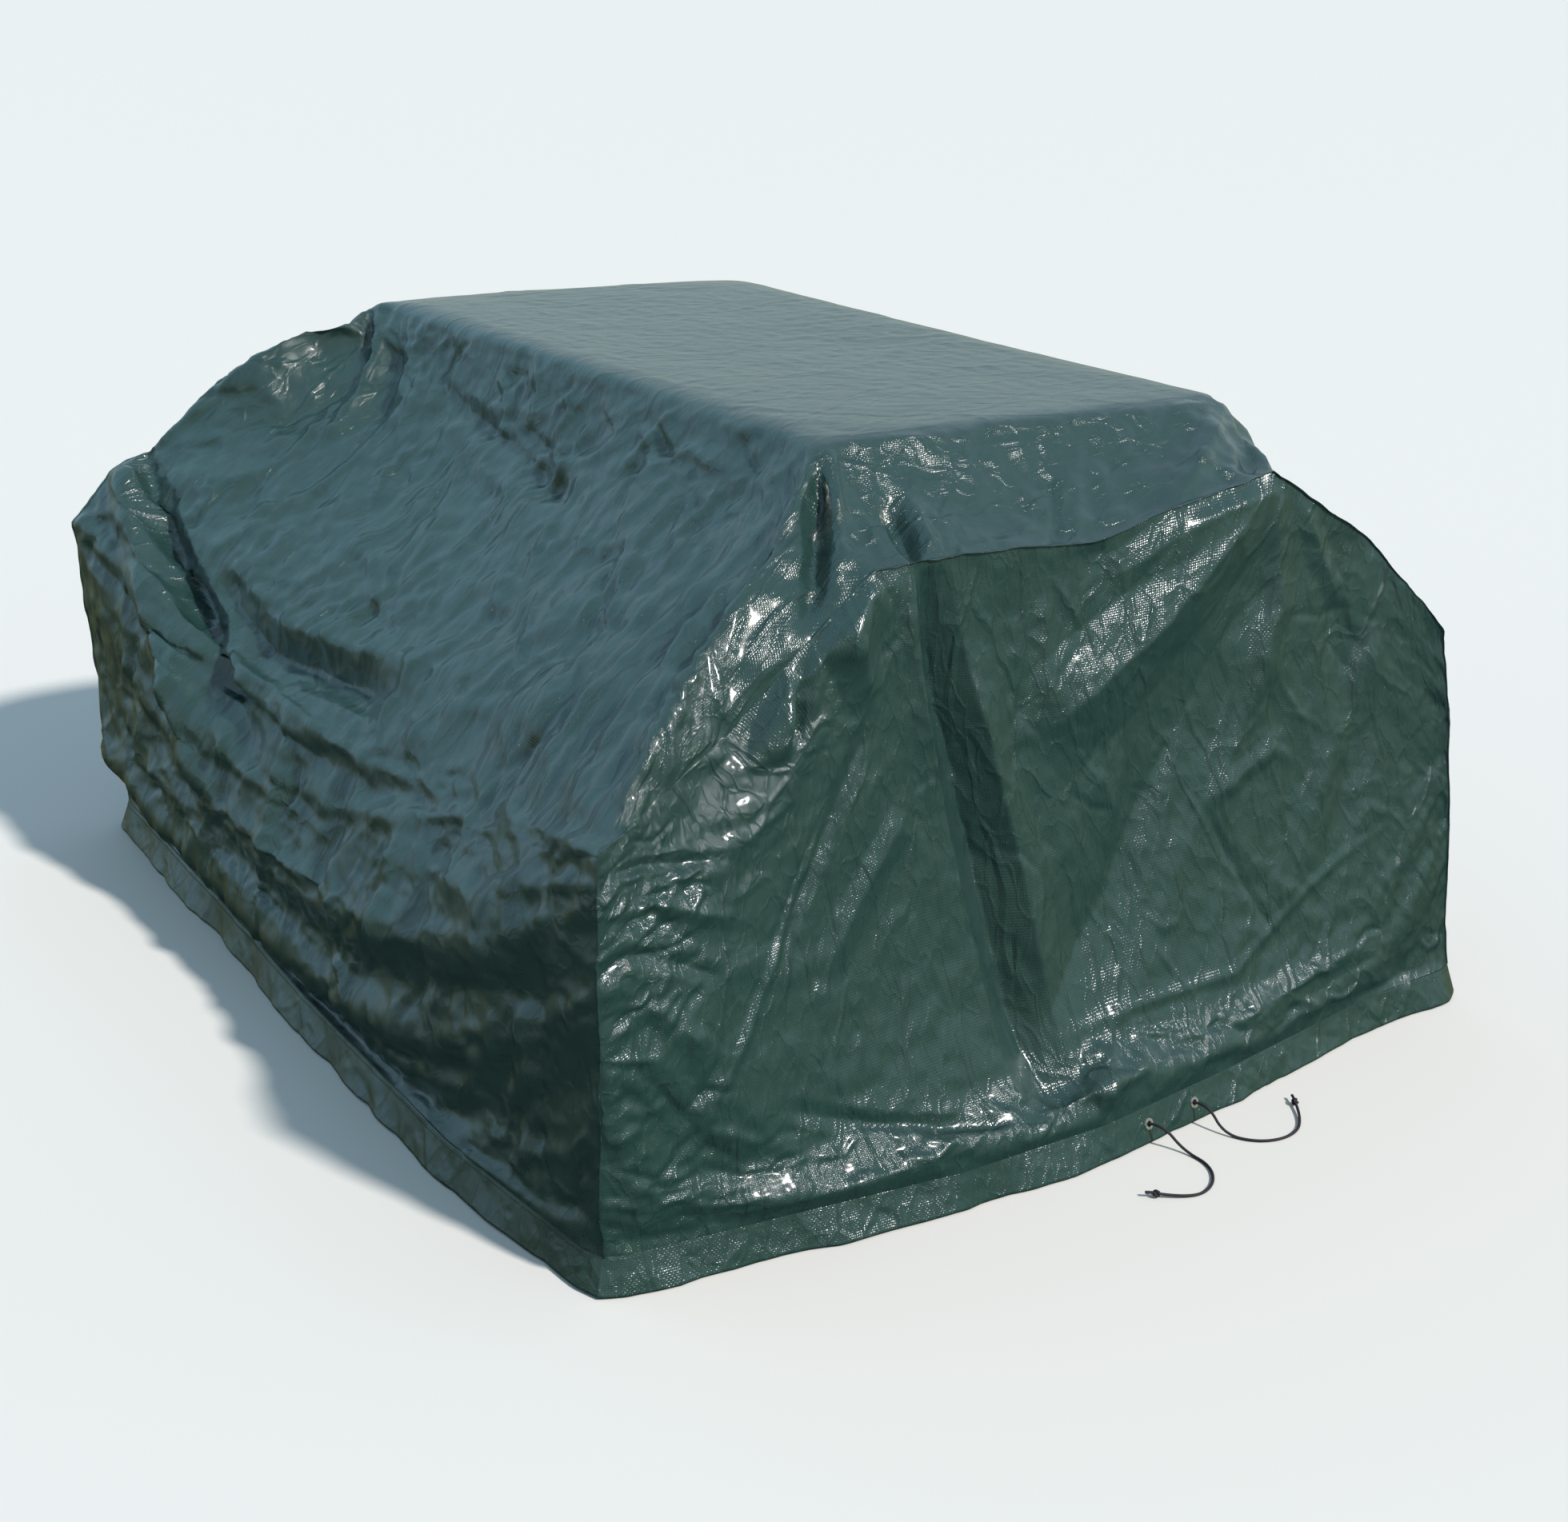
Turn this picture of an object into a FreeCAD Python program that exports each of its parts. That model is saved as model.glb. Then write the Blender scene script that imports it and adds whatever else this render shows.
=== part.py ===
import FreeCAD, Part
import math
import os

V = FreeCAD.Vector

# ---------------------------------------------------------------- driving dimensions, in mm
FRONT_WIDTH = 1560.0        # hem corner to hem corner along the front
SIDE_DEPTH = 1750.0         # hem corner to hem corner along a side
CREST_HEIGHT = 945.0        # flat raised top above the ground
CORNER_HEIGHT = 580.0       # sewn near corner above the ground
PLATE_WIDTH = 740.0         # flat raised top, left to right
PLATE_DEPTH = 1313.0        # flat raised top, front to back
PLATE_LEFT = 467.0          # left hem line to the flat top
PLATE_FRONT = 265.0         # front hem line to the flat top
GAUGE = 4.0                 # solid that stands for the woven sheet

HEM_HEIGHT = 50.0           # folded drawcord casing
HEM_DEPTH = 14.0
HEM_WALL = 3.0
HEM_FLARE = 18.0            # how far the casing's foot spreads outward
CORNER_RUN = 40.0           # rounded corner of the casing in plan
FRONT_BULGE = 75.0          # how far each foot line bows out of the rectangle
BACK_BULGE = 60.0
LEFT_BULGE = 30.0
RIGHT_BULGE = 16.0

SEAM_THICK = 2.0            # two turned edges of the sheet, sewn together
SEAM_STAND = 6.0            # how far the turned edges stand out

STITCH_WIDTH = 1.2
STITCH_STAND = 0.6
STITCH_DROP = 5.0           # below the casing's upper edge

CORD_DIA = 4.0
CORD_BEND = 20.0            # bend of the cord at the casing's corners
CORD_EXIT_BEND = 8.0        # bend of the cord where it turns out through an eyelet

EYELET_BORE = 8.5
EYELET_BARREL = 10.0
EYELET_FLANGE = 16.0
EYELET_FLANGE_THICK = 1.2
EYELET_ROLL = 12.5          # rolled inner lip
EYELET_ROLL_THICK = 0.5
EYELET_SPACING = 95.0
EYELET_OFFSET = 0.8         # bore centre against the cord's line, away from its bend
WASHER_DIA = 15.0
WASHER_THICK = 0.6
ROUND_GAP = 0.3             # radial gap between curved faces

KNOT_LENGTH = 13.0
KNOT_DIA = 10.5
KNOT_TAG = 9.0              # short cord end beyond the knot

# ---------------------------------------------------------------- derived values
RIGHT_MARGIN = FRONT_WIDTH - PLATE_LEFT - PLATE_WIDTH
PLATE_BACK = PLATE_FRONT + PLATE_DEPTH
CORNER_CUT = CORNER_RUN * math.tan(math.radians(22.5)) / (1 + math.tan(math.radians(22.5)))
CORD_R = CORD_DIA / 2

# Foot line between the corners: (share of the side's length, share of its bulge)
FRONT_FOOT = [(0.16, 0.40), (0.32, 0.90), (0.475, 1.0), (0.64, 0.65), (0.83, 0.10)]
RIGHT_FOOT = [(0.20, 0.8), (0.48, 1.0), (0.71, 0.8)]
BACK_FOOT = [(0.17, 0.3), (0.36, 0.8), (0.50, 1.0), (0.66, 0.8), (0.84, 0.3)]
LEFT_FOOT = [(0.29, 0.4), (0.52, 0.9), (0.80, 1.0)]

# Rows of the wrap panel between the casing on the left and the casing on the right.
# (side, lateral share x5, height share x5, how far the stations follow the flat top)
# lateral share: L and R run from the hem line to the flat top, P runs across the flat top
WRAP_ROWS = [
    ("L", (0.01, -0.02, -0.03, -0.03, 0.00), (0.110, 0.100, 0.140, 0.150, 0.140), 0.00),
    ("L", (0.00, -0.01, -0.03, -0.035, -0.02), (0.350, 0.330, 0.360, 0.310, 0.380), 0.00),
    ("L", (0.03, 0.03, 0.07, 0.055, 0.05), (0.592, 0.530, 0.610, 0.655, 0.690), 0.25),
    ("L", (0.47, 0.41, 0.32, 0.32, 0.47), (0.795, 0.720, 0.705, 0.730, 0.815), 0.70),
    ("L", (0.86, 0.825, 0.835, 0.835, 0.86), (0.940, 0.900, 0.862, 0.868, 0.950), 0.92),
    ("P", (0.00, 0.00, 0.00, 0.00, 0.00), (1.000, 1.000, 1.000, 1.000, 1.000), 1.00),
    ("P", (0.33, 0.33, 0.33, 0.33, 0.33), (1.000, 1.000, 1.000, 1.000, 1.000), 1.00),
    ("P", (0.67, 0.67, 0.67, 0.67, 0.67), (1.000, 1.000, 1.000, 1.000, 1.000), 1.00),
    ("P", (1.00, 1.00, 1.00, 1.00, 1.00), (1.000, 1.000, 1.000, 1.000, 1.000), 1.00),
    ("R", (0.60, 0.54, 0.51, 0.51, 0.57), (0.850, 0.836, 0.825, 0.830, 0.850), 0.75),
    ("R", (0.17, 0.13, 0.11, 0.11, 0.14), (0.675, 0.645, 0.635, 0.640, 0.665), 0.30),
    ("R", (0.06, 0.04, 0.02, 0.03, 0.05), (0.370, 0.370, 0.370, 0.370, 0.370), 0.00),
    ("R", (0.01, -0.01, -0.03, -0.01, 0.01), (0.140, 0.140, 0.140, 0.140, 0.140), 0.00),
]

# Upper seams, corner to corner: (share of the front width, depth in mm, share of crest height)
FRONT_SEAM = [(0.060, 57.0, 0.628), (0.150, 95.0, 0.690), (0.280, 102.0, 0.868),
              (0.385, 102.0, 0.872), (0.515, 102.0, 0.860), (0.720, 106.0, 0.925),
              (0.862, 96.0, 0.782)]
BACK_SEAM = [(0.090, 42.0, 0.725), (0.190, 62.0, 0.815), (0.290, 70.0, 0.880),
             (0.410, 70.0, 0.880), (0.580, 70.0, 0.880), (0.740, 70.0, 0.895),
             (0.866, 60.0, 0.780)]


# ---------------------------------------------------------------- helpers
def offset_loop(points, distance):
    """Closed plan polygon, anticlockwise, moved outward by distance with mitred corners."""
    result = []
    for i, here in enumerate(points):
        before = points[i - 1]
        after = points[(i + 1) % len(points)]
        d1 = (here - before).normalize()
        d2 = (after - here).normalize()
        n1 = V(d1.y, -d1.x, 0)
        n2 = V(d2.y, -d2.x, 0)
        mitre = (n1 + n2).normalize()
        result.append(here + mitre * (distance / mitre.dot(n1)))
    return result


def at_height(points, z):
    return [V(p.x, p.y, z) for p in points]


def polygon_face(points):
    return Part.Face(Part.makePolygon(points + [points[0]]))


def split_quad(a, b, c, d):
    """Two triangles for the quad a-b-c-d, cut along its shorter diagonal."""
    if (a - c).Length <= (b - d).Length:
        return [polygon_face([a, b, c]), polygon_face([a, c, d])]
    return [polygon_face([a, b, d]), polygon_face([b, c, d])]


def closed_solid(faces):
    solid = Part.Solid(Part.Shell(faces))
    if solid.Volume < 0:
        solid.reverse()
    return solid


def ring_solid(rings):
    """Solid swept through closed rings of equal length, capped at both ends."""
    faces = [polygon_face(rings[0]), polygon_face(rings[-1])]
    count = len(rings[0])
    for low, high in zip(rings, rings[1:]):
        for i in range(count):
            j = (i + 1) % count
            faces += split_quad(low[i], low[j], high[j], high[i])
    return closed_solid(faces)


def panel_solid(outer, inner):
    """Sheet between two grids of points, with its four edges closed."""
    faces = []
    rows, cols = len(outer), len(outer[0])
    for grid in (outer, inner):
        for r in range(rows - 1):
            for c in range(cols - 1):
                quad = (grid[r][c], grid[r][c + 1], grid[r + 1][c + 1], grid[r + 1][c])
                faces += split_quad(*quad)
    rim = [(r, 0) for r in range(rows)] + [(rows - 1, c) for c in range(1, cols)]
    rim += [(r, cols - 1) for r in range(rows - 2, -1, -1)] + [(0, c) for c in range(cols - 2, 0, -1)]
    for (r1, c1), (r2, c2) in zip(rim, rim[1:] + rim[:1]):
        faces += split_quad(outer[r1][c1], outer[r2][c2], inner[r2][c2], inner[r1][c1])
    return closed_solid(faces)


def grid_normals(grid, outward_hint):
    """Unit normals of a grid of points, turned to the side of outward_hint(point)."""
    rows, cols = len(grid), len(grid[0])
    normals = []
    for r in range(rows):
        line = []
        for c in range(cols):
            down = grid[min(r + 1, rows - 1)][c] - grid[max(r - 1, 0)][c]
            along = grid[r][min(c + 1, cols - 1)] - grid[r][max(c - 1, 0)]
            normal = down.cross(along).normalize()
            if normal.dot(outward_hint(grid[r][c])) < 0:
                normal = normal * -1
            line.append(normal)
        normals.append(line)
    return normals


def away_from_middle(point):
    return point - V(FRONT_WIDTH / 2, SIDE_DEPTH / 2, CREST_HEIGHT * 0.3)


def rounded_path(points, radius_at):
    """Straight runs joined by tangent arcs; radius_at(index, shorter run, half turn)."""
    edges = []
    start = points[0]
    for i in range(1, len(points) - 1):
        back = points[i - 1] - points[i]
        ahead = points[i + 1] - points[i]
        shorter = min(back.Length, ahead.Length)
        back = back.normalize()
        ahead = ahead.normalize()
        half_turn = (math.pi - back.getAngle(ahead)) / 2
        radius = radius_at(i, shorter, half_turn)
        reach = radius * math.tan(half_turn)
        entry = points[i] + back * reach
        leave = points[i] + ahead * reach
        inward = (back + ahead).normalize()
        middle = points[i] + inward * (radius / math.cos(half_turn) - radius)
        edges.append(Part.makeLine(start, entry))
        edges.append(Part.Arc(entry, middle, leave).toShape())
        start = leave
    edges.append(Part.makeLine(start, points[-1]))
    return Part.Wire(edges)


def round_cord(path, diameter):
    first = path.Edges[0]
    direction = first.tangentAt(first.FirstParameter)
    profile = Part.Wire(Part.makeCircle(diameter / 2, first.valueAt(first.FirstParameter), direction))
    return path.makePipeShell([profile], True, True)


def ring(outer_dia, inner_dia, height, base, axis):
    solid = Part.makeCylinder(outer_dia / 2, height, base, axis)
    return solid.cut(Part.makeCylinder(inner_dia / 2, height + 2, base - axis, axis))


# ---------------------------------------------------------------- foot line of the whole cover
def foot_line():
    """Anticlockwise plan of the casing's upper outer edge, with the index of each corner."""
    w, d, run, cut = FRONT_WIDTH, SIDE_DEPTH, CORNER_RUN, CORNER_CUT
    sides = [
        (V(0, 0, 0), V(1, 0, 0), w, FRONT_BULGE, FRONT_FOOT),
        (V(w, 0, 0), V(0, 1, 0), d, RIGHT_BULGE, RIGHT_FOOT),
        (V(w, d, 0), V(-1, 0, 0), w, BACK_BULGE, BACK_FOOT),
        (V(0, d, 0), V(0, -1, 0), d, LEFT_BULGE, LEFT_FOOT),
    ]
    points, corners = [], []
    for start, along, length, bulge, stations in sides:
        outward = V(along.y, -along.x, 0)
        corners.append(len(points))
        points.append(start + along * cut - outward * cut)
        points.append(start + along * run)
        for share, bow in stations:
            points.append(start + along * (share * length) + outward * (bow * bulge))
        points.append(start + along * (length - run))
    return points, corners


FOOT, CORNERS = foot_line()


def foot_run(loop, side):
    """Points of one side of a closed loop, both corners included."""
    first = CORNERS[side]
    last = CORNERS[side + 1] if side < 3 else len(loop)
    return [loop[i % len(loop)] for i in range(first, last + 1)]


# ---------------------------------------------------------------- grids of the three panels
def seam_line(corner_points, shares, front):
    left, right = corner_points
    points = [left]
    for share, inset, height in shares:
        depth = inset if front else SIDE_DEPTH - inset
        points.append(V(share * FRONT_WIDTH, depth, height * CREST_HEIGHT))
    points.append(right)
    return points


def corner_seam(foot, top):
    """Four points of a sewn corner, from the casing up to the upper seam."""
    base = V(foot.x, foot.y, HEM_HEIGHT)
    low = V(foot.x + (top.x - foot.x) * 0.6, foot.y + (top.y - foot.y) * 0.6, 0.13 * CREST_HEIGHT)
    mid = V(foot.x + (top.x - foot.x) * 0.8, foot.y + (top.y - foot.y) * 0.8, 0.36 * CREST_HEIGHT)
    return [base, low, mid, top]


FRONT_TOP_CORNERS = (V(0, 0, CORNER_HEIGHT), V(FRONT_WIDTH * 0.950, 50, CORNER_HEIGHT * 1.04))
BACK_TOP_CORNERS = (V(24, SIDE_DEPTH - 12, CORNER_HEIGHT * 1.13),
                    V(FRONT_WIDTH * 0.972, SIDE_DEPTH - 20, CORNER_HEIGHT * 1.05))
FRONT_UPPER = seam_line(FRONT_TOP_CORNERS, FRONT_SEAM, True)
BACK_UPPER = seam_line(BACK_TOP_CORNERS, BACK_SEAM, False)

LEFT_FRONT_SEAM = corner_seam(FOOT[CORNERS[0]], FRONT_UPPER[0])
RIGHT_FRONT_SEAM = corner_seam(FOOT[CORNERS[1]], FRONT_UPPER[-1])
RIGHT_BACK_SEAM = corner_seam(FOOT[CORNERS[2]], BACK_UPPER[-1])
LEFT_BACK_SEAM = corner_seam(FOOT[CORNERS[3]], BACK_UPPER[0])

FRONT_SEWN = LEFT_FRONT_SEAM + FRONT_UPPER[1:-1] + RIGHT_FRONT_SEAM[::-1]
BACK_SEWN = LEFT_BACK_SEAM + BACK_UPPER[1:-1] + RIGHT_BACK_SEAM[::-1]


def wrap_grid():
    """Rows run over the cover from left to right, stations from front to back."""
    left_foot = at_height(foot_run(FOOT, 3)[::-1], HEM_HEIGHT)
    right_foot = at_height(foot_run(FOOT, 1), HEM_HEIGHT)
    plate_depths = [PLATE_FRONT + PLATE_DEPTH * share for share in (0, 0.12, 0.45, 0.75, 1)]
    grid = [left_foot]
    for number, (side, lateral, heights, follow) in enumerate(WRAP_ROWS, start=1):
        foot = left_foot if side != "R" else right_foot
        row = [FRONT_SEWN[number]]
        for station in range(5):
            share = lateral[station]
            if side == "L":
                x = share * PLATE_LEFT
            elif side == "P":
                x = PLATE_LEFT + share * PLATE_WIDTH
            else:
                x = FRONT_WIDTH - share * RIGHT_MARGIN
            y = foot[station + 1].y * (1 - follow) + plate_depths[station] * follow
            row.append(V(x, y, heights[station] * CREST_HEIGHT))
        row.append(BACK_SEWN[number])
        grid.append(row)
    grid.append(right_foot)
    return grid


def end_grid(foot, upper, left_seam, right_seam, outward):
    """End panel: four rows from the casing up to the seam, columns from left to right."""
    grid = [at_height(foot, HEM_HEIGHT), [], [], upper]
    for column, (low, high) in enumerate(zip(foot, upper)):
        if column == 0:
            grid[1].append(left_seam[1])
            grid[2].append(left_seam[2])
        elif column == len(foot) - 1:
            grid[1].append(right_seam[1])
            grid[2].append(right_seam[2])
        else:
            ledge = low + (high - low) * 0.12
            belly = low + (high - low) * 0.48
            grid[1].append(V(ledge.x, ledge.y + 4 * outward, 0.135 * CREST_HEIGHT))
            grid[2].append(V(belly.x, belly.y + 22 * outward, high.z * 0.52))
    return grid


WRAP = wrap_grid()
FRONT = end_grid(foot_run(FOOT, 0), FRONT_UPPER, LEFT_FRONT_SEAM, RIGHT_FRONT_SEAM, -1)
BACK = end_grid(foot_run(FOOT, 2)[::-1], BACK_UPPER, LEFT_BACK_SEAM, RIGHT_BACK_SEAM, 1)
WRAP_NORMALS = grid_normals(WRAP, away_from_middle)
FRONT_NORMALS = grid_normals(FRONT, away_from_middle)
BACK_NORMALS = grid_normals(BACK, away_from_middle)


def border(grid):
    """Left edge upward, upper edge, right edge downward of an end panel."""
    left = [row[0] for row in grid]
    right = [row[-1] for row in grid]
    return left + grid[-1][1:-1] + right[::-1]


def seam_sections(sewn, wrap_column, end_panel, end_normals):
    """For each sewn point: its outward direction and the direction from wrap to end panel."""
    wrap_normals = [row[wrap_column] for row in WRAP_NORMALS]
    panel_normals = border(end_normals)
    neighbour = 1 if wrap_column == 0 else -2
    sections = []
    last = len(sewn) - 1
    for i, point in enumerate(sewn):
        outward = (wrap_normals[i] + panel_normals[i]).normalize()
        along = sewn[min(i + 1, last)] - sewn[max(i - 1, 0)]
        if i in (0, last):
            outward = V(outward.x, outward.y, 0).normalize()
            along = V(0, 0, 1)
        across = along.cross(outward).normalize()
        outward = across.cross(along).normalize()
        if outward.dot(wrap_normals[i] + panel_normals[i]) < 0:
            outward = outward * -1
        if across.dot(WRAP[i][neighbour] - point) > 0:
            across = across * -1
        sections.append((point, outward, across))
    return sections


FRONT_SECTIONS = seam_sections(FRONT_SEWN, 0, FRONT, FRONT_NORMALS)
BACK_SECTIONS = seam_sections(BACK_SEWN, -1, BACK, BACK_NORMALS)


def inner_grid(grid, normals):
    return [[point - normal * GAUGE for point, normal in zip(line, line_normals)]
            for line, line_normals in zip(grid, normals)]


def sewn_edge(sections, toward):
    """Outer and inner edge points of a panel that stops at the seam's side."""
    outer, inner = [], []
    for point, outward, across in sections:
        edge = point + across * (toward * SEAM_THICK / 2)
        outer.append(edge)
        inner.append(edge - outward * GAUGE)
    return outer, inner


# ---------------------------------------------------------------- sub-parts
def wrap_panel():
    outer = [list(row) for row in WRAP]
    inner = inner_grid(WRAP, WRAP_NORMALS)
    inset = at_height(offset_loop(FOOT, -GAUGE), HEM_HEIGHT)
    inner[0] = foot_run(inset, 3)[::-1]
    inner[-1] = foot_run(inset, 1)
    for column, sections in ((0, FRONT_SECTIONS), (-1, BACK_SECTIONS)):
        edge, back = sewn_edge(sections, -1)
        for row in range(len(outer)):
            outer[row][column] = edge[row]
            inner[row][column] = back[row]
    return panel_solid(outer, inner)


def end_panel(grid, normals, sections, side):
    outer = [list(row) for row in grid]
    inner = inner_grid(grid, normals)
    inset = foot_run(at_height(offset_loop(FOOT, -GAUGE), HEM_HEIGHT), side)
    inner[0] = inset if side == 0 else inset[::-1]
    edge, back = sewn_edge(sections, 1)
    rows, cols = len(grid), len(grid[0])
    rim = [(r, 0) for r in range(rows)] + [(rows - 1, c) for c in range(1, cols - 1)]
    rim += [(r, cols - 1) for r in range(rows - 1, -1, -1)]
    for (row, column), outer_point, inner_point in zip(rim, edge, back):
        outer[row][column] = outer_point
        inner[row][column] = inner_point
    return panel_solid(outer, inner)


def seam(sections):
    """Turned edges of both panels, sewn together and standing out along the seam."""
    rings = []
    for point, outward, across in sections:
        left = point - across * (SEAM_THICK / 2)
        right = point + across * (SEAM_THICK / 2)
        rings.append([left - outward * GAUGE, left, left + outward * SEAM_STAND,
                      right + outward * SEAM_STAND, right, right - outward * GAUGE])
    return ring_solid(rings)


def casing_line(inset, height):
    """Loop at a height of the casing, inset from its sloping outer face."""
    lean = HEM_FLARE * (1 - height / HEM_HEIGHT)
    return at_height(offset_loop(FOOT, lean - inset), height)


def hem_casing(side):
    """Folded and sewn lower edge of one side, hollow for the draw cord."""
    top = HEM_HEIGHT - HEM_WALL
    outer = [casing_line(0, HEM_HEIGHT), casing_line(0, 0),
             casing_line(HEM_DEPTH, 0), casing_line(HEM_DEPTH, HEM_HEIGHT)]
    inner = [casing_line(HEM_WALL, top), casing_line(HEM_WALL, HEM_WALL),
             casing_line(HEM_DEPTH - HEM_WALL, HEM_WALL), casing_line(HEM_DEPTH - HEM_WALL, top)]
    outer_rings = [list(ring) for ring in zip(*[foot_run(loop, side) for loop in outer])]
    inner_rings = [list(ring) for ring in zip(*[foot_run(loop, side) for loop in inner])]
    return ring_solid(outer_rings).cut(ring_solid(inner_rings))


def hem_stitch(side):
    """Row of stitching that closes the casing, laid on its outer face."""
    high = HEM_HEIGHT - STITCH_DROP
    low = high - STITCH_WIDTH
    loops = [casing_line(0, high), casing_line(0, low),
             casing_line(-STITCH_STAND, low), casing_line(-STITCH_STAND, high)]
    return ring_solid([list(ring) for ring in zip(*[foot_run(loop, side) for loop in loops])])


def eyelet_frame():
    """Facet of the front casing that carries the eyelets: its direction, outward normal,
    the cord's line at the middle of the pair, and that line's distance to the outer face."""
    line = foot_run(casing_line(HEM_DEPTH / 2, HEM_HEIGHT / 2), 0)
    start, end = line[4], line[5]
    along = (end - start).normalize()
    outward = V(along.y, -along.x, 0)
    normal = (outward * HEM_HEIGHT + V(0, 0, HEM_FLARE)).normalize()
    middle = (start + end) * 0.5
    return along, normal, middle, HEM_DEPTH / 2 * outward.dot(normal)


ALONG, NORMAL, PAIR_MIDDLE, FACE_REACH = eyelet_frame()
WALL_REACH = FACE_REACH * (1 - 2 * HEM_WALL / HEM_DEPTH)


def eyelet_centre(side):
    """Side -1 is the left eyelet, +1 the right one; the bore sits a little towards its own side."""
    return PAIR_MIDDLE + ALONG * (side * (EYELET_SPACING / 2 + EYELET_OFFSET))


def cord_exit(side):
    return PAIR_MIDDLE + ALONG * (side * EYELET_SPACING / 2)


def front_hem():
    solid = hem_casing(0)
    for side in (-1, 1):
        base = eyelet_centre(side) + NORMAL * (WALL_REACH - 1)
        depth = FACE_REACH - WALL_REACH + 2
        solid = solid.cut(Part.makeCylinder(EYELET_BARREL / 2 + ROUND_GAP, depth, base, NORMAL))
    return solid


def eyelet(side):
    centre = eyelet_centre(side)
    roll_foot = WALL_REACH - WASHER_THICK - EYELET_ROLL_THICK
    top = FACE_REACH + EYELET_FLANGE_THICK
    barrel = Part.makeCylinder(EYELET_BARREL / 2, top - roll_foot, centre + NORMAL * roll_foot, NORMAL)
    flange = Part.makeCylinder(EYELET_FLANGE / 2, EYELET_FLANGE_THICK, centre + NORMAL * FACE_REACH, NORMAL)
    roll = Part.makeCylinder(EYELET_ROLL / 2, EYELET_ROLL_THICK, centre + NORMAL * roll_foot, NORMAL)
    bore = Part.makeCylinder(EYELET_BORE / 2, top - roll_foot + 2, centre + NORMAL * (roll_foot - 1), NORMAL)
    return barrel.fuse([flange, roll]).cut(bore).removeSplitter()


def washer(side):
    base = eyelet_centre(side) + NORMAL * (WALL_REACH - WASHER_THICK)
    return ring(WASHER_DIA, EYELET_BARREL + 2 * ROUND_GAP, WASHER_THICK, base, NORMAL)


def draw_cord():
    """Cord round the whole casing, out through the left eyelet and the right one."""
    loop = casing_line(HEM_DEPTH / 2, HEM_HEIGHT / 2)
    first = CORNERS[0] + 4
    around = [loop[(first - i) % len(loop)] for i in range(len(loop))]
    points = [cord_exit(-1) + NORMAL * CORD_EXIT_BEND, cord_exit(-1)]
    points += around + [cord_exit(1), cord_exit(1) + NORMAL * CORD_EXIT_BEND]
    last = len(points) - 2

    def bend(index, shorter, half_turn):
        if index in (1, last):
            return CORD_EXIT_BEND * 0.98
        return min(CORD_BEND, 0.45 * shorter / math.tan(half_turn))

    return round_cord(rounded_path(points, bend), CORD_DIA)


def tail_points(side):
    """Loose end of the cord: out of the eyelet, down to the ground and along it."""
    start = cord_exit(side) + NORMAL * CORD_EXIT_BEND
    out = start + NORMAL * 24
    if side < 0:
        steps = [(20, -24), (4, -48), (-32, -38), (-46, -8), (-34, 26)]
    else:
        steps = [(4, -32), (26, -40), (47, -14), (46, 18), (26, 38)]
    points = [start, out]
    here = V(out.x, out.y, CORD_R)
    for dx, dy in steps:
        here = here + V(dx, dy, 0)
        points.append(here)
    points[-1].z = KNOT_DIA / 2 + 0.5
    return points


def cord_tail(side):
    def bend(index, shorter, half_turn):
        return 0.45 * shorter / math.tan(half_turn)

    return round_cord(rounded_path(tail_points(side), bend), CORD_DIA)


def end_knot(side):
    """Overhand knot drawn tight on the loose end, with the short tag beyond it."""
    points = tail_points(side)
    along = (points[-1] - points[-2]).normalize()
    r, big, n = CORD_R, KNOT_DIA / 2, KNOT_LENGTH
    profile = Part.makePolygon([V(0, 0, 0), V(r, 0, 0), V(big, 0, n * 0.3), V(big, 0, n * 0.7),
                                V(r, 0, n), V(r, 0, n + KNOT_TAG), V(0, 0, n + KNOT_TAG), V(0, 0, 0)])
    knot = Part.Face(profile).revolve(V(0, 0, 0), V(0, 0, 1), 360)
    turn = FreeCAD.Rotation(V(0, 0, 1), along)
    knot.Placement = FreeCAD.Placement(points[-1], turn)
    return knot


PARTS = {
    "wrap_panel": wrap_panel,
    "front_panel": lambda: end_panel(FRONT, FRONT_NORMALS, FRONT_SECTIONS, 0),
    "back_panel": lambda: end_panel(BACK, BACK_NORMALS, BACK_SECTIONS, 2),
    "front_seam": lambda: seam(FRONT_SECTIONS),
    "back_seam": lambda: seam(BACK_SECTIONS),
    "front_hem": front_hem,
    "right_hem": lambda: hem_casing(1),
    "back_hem": lambda: hem_casing(2),
    "left_hem": lambda: hem_casing(3),
    "front_hem_stitch": lambda: hem_stitch(0),
    "right_hem_stitch": lambda: hem_stitch(1),
    "back_hem_stitch": lambda: hem_stitch(2),
    "left_hem_stitch": lambda: hem_stitch(3),
    "eyelet_left": lambda: eyelet(-1),
    "eyelet_right": lambda: eyelet(1),
    "washer_left": lambda: washer(-1),
    "washer_right": lambda: washer(1),
    "draw_cord": draw_cord,
    "cord_tail_left": lambda: cord_tail(-1),
    "cord_tail_right": lambda: cord_tail(1),
    "end_knot_left": lambda: end_knot(-1),
    "end_knot_right": lambda: end_knot(1),
}


def frame_shift():
    """Moves the middle of the foot's bounding box to the origin."""
    ground = offset_loop(FOOT, HEM_FLARE)
    xs = [p.x for p in ground]
    ys = [p.y for p in ground]
    return V(-(min(xs) + max(xs)) / 2, -(min(ys) + max(ys)) / 2, 0)


os.makedirs("parts", exist_ok=True)
for name, build in PARTS.items():
    shape = build()
    shape.translate(frame_shift())
    shape.exportStep("parts/" + name + ".step")
    box = shape.BoundBox
    print("%-18s valid %s solids %d volume %.1f x %.1f..%.1f y %.1f..%.1f z %.2f..%.2f" % (
        name, shape.isValid(), len(shape.Solids), shape.Volume / 1000,
        box.XMin, box.XMax, box.YMin, box.YMax, box.ZMin, box.ZMax))
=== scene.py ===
import math

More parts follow.
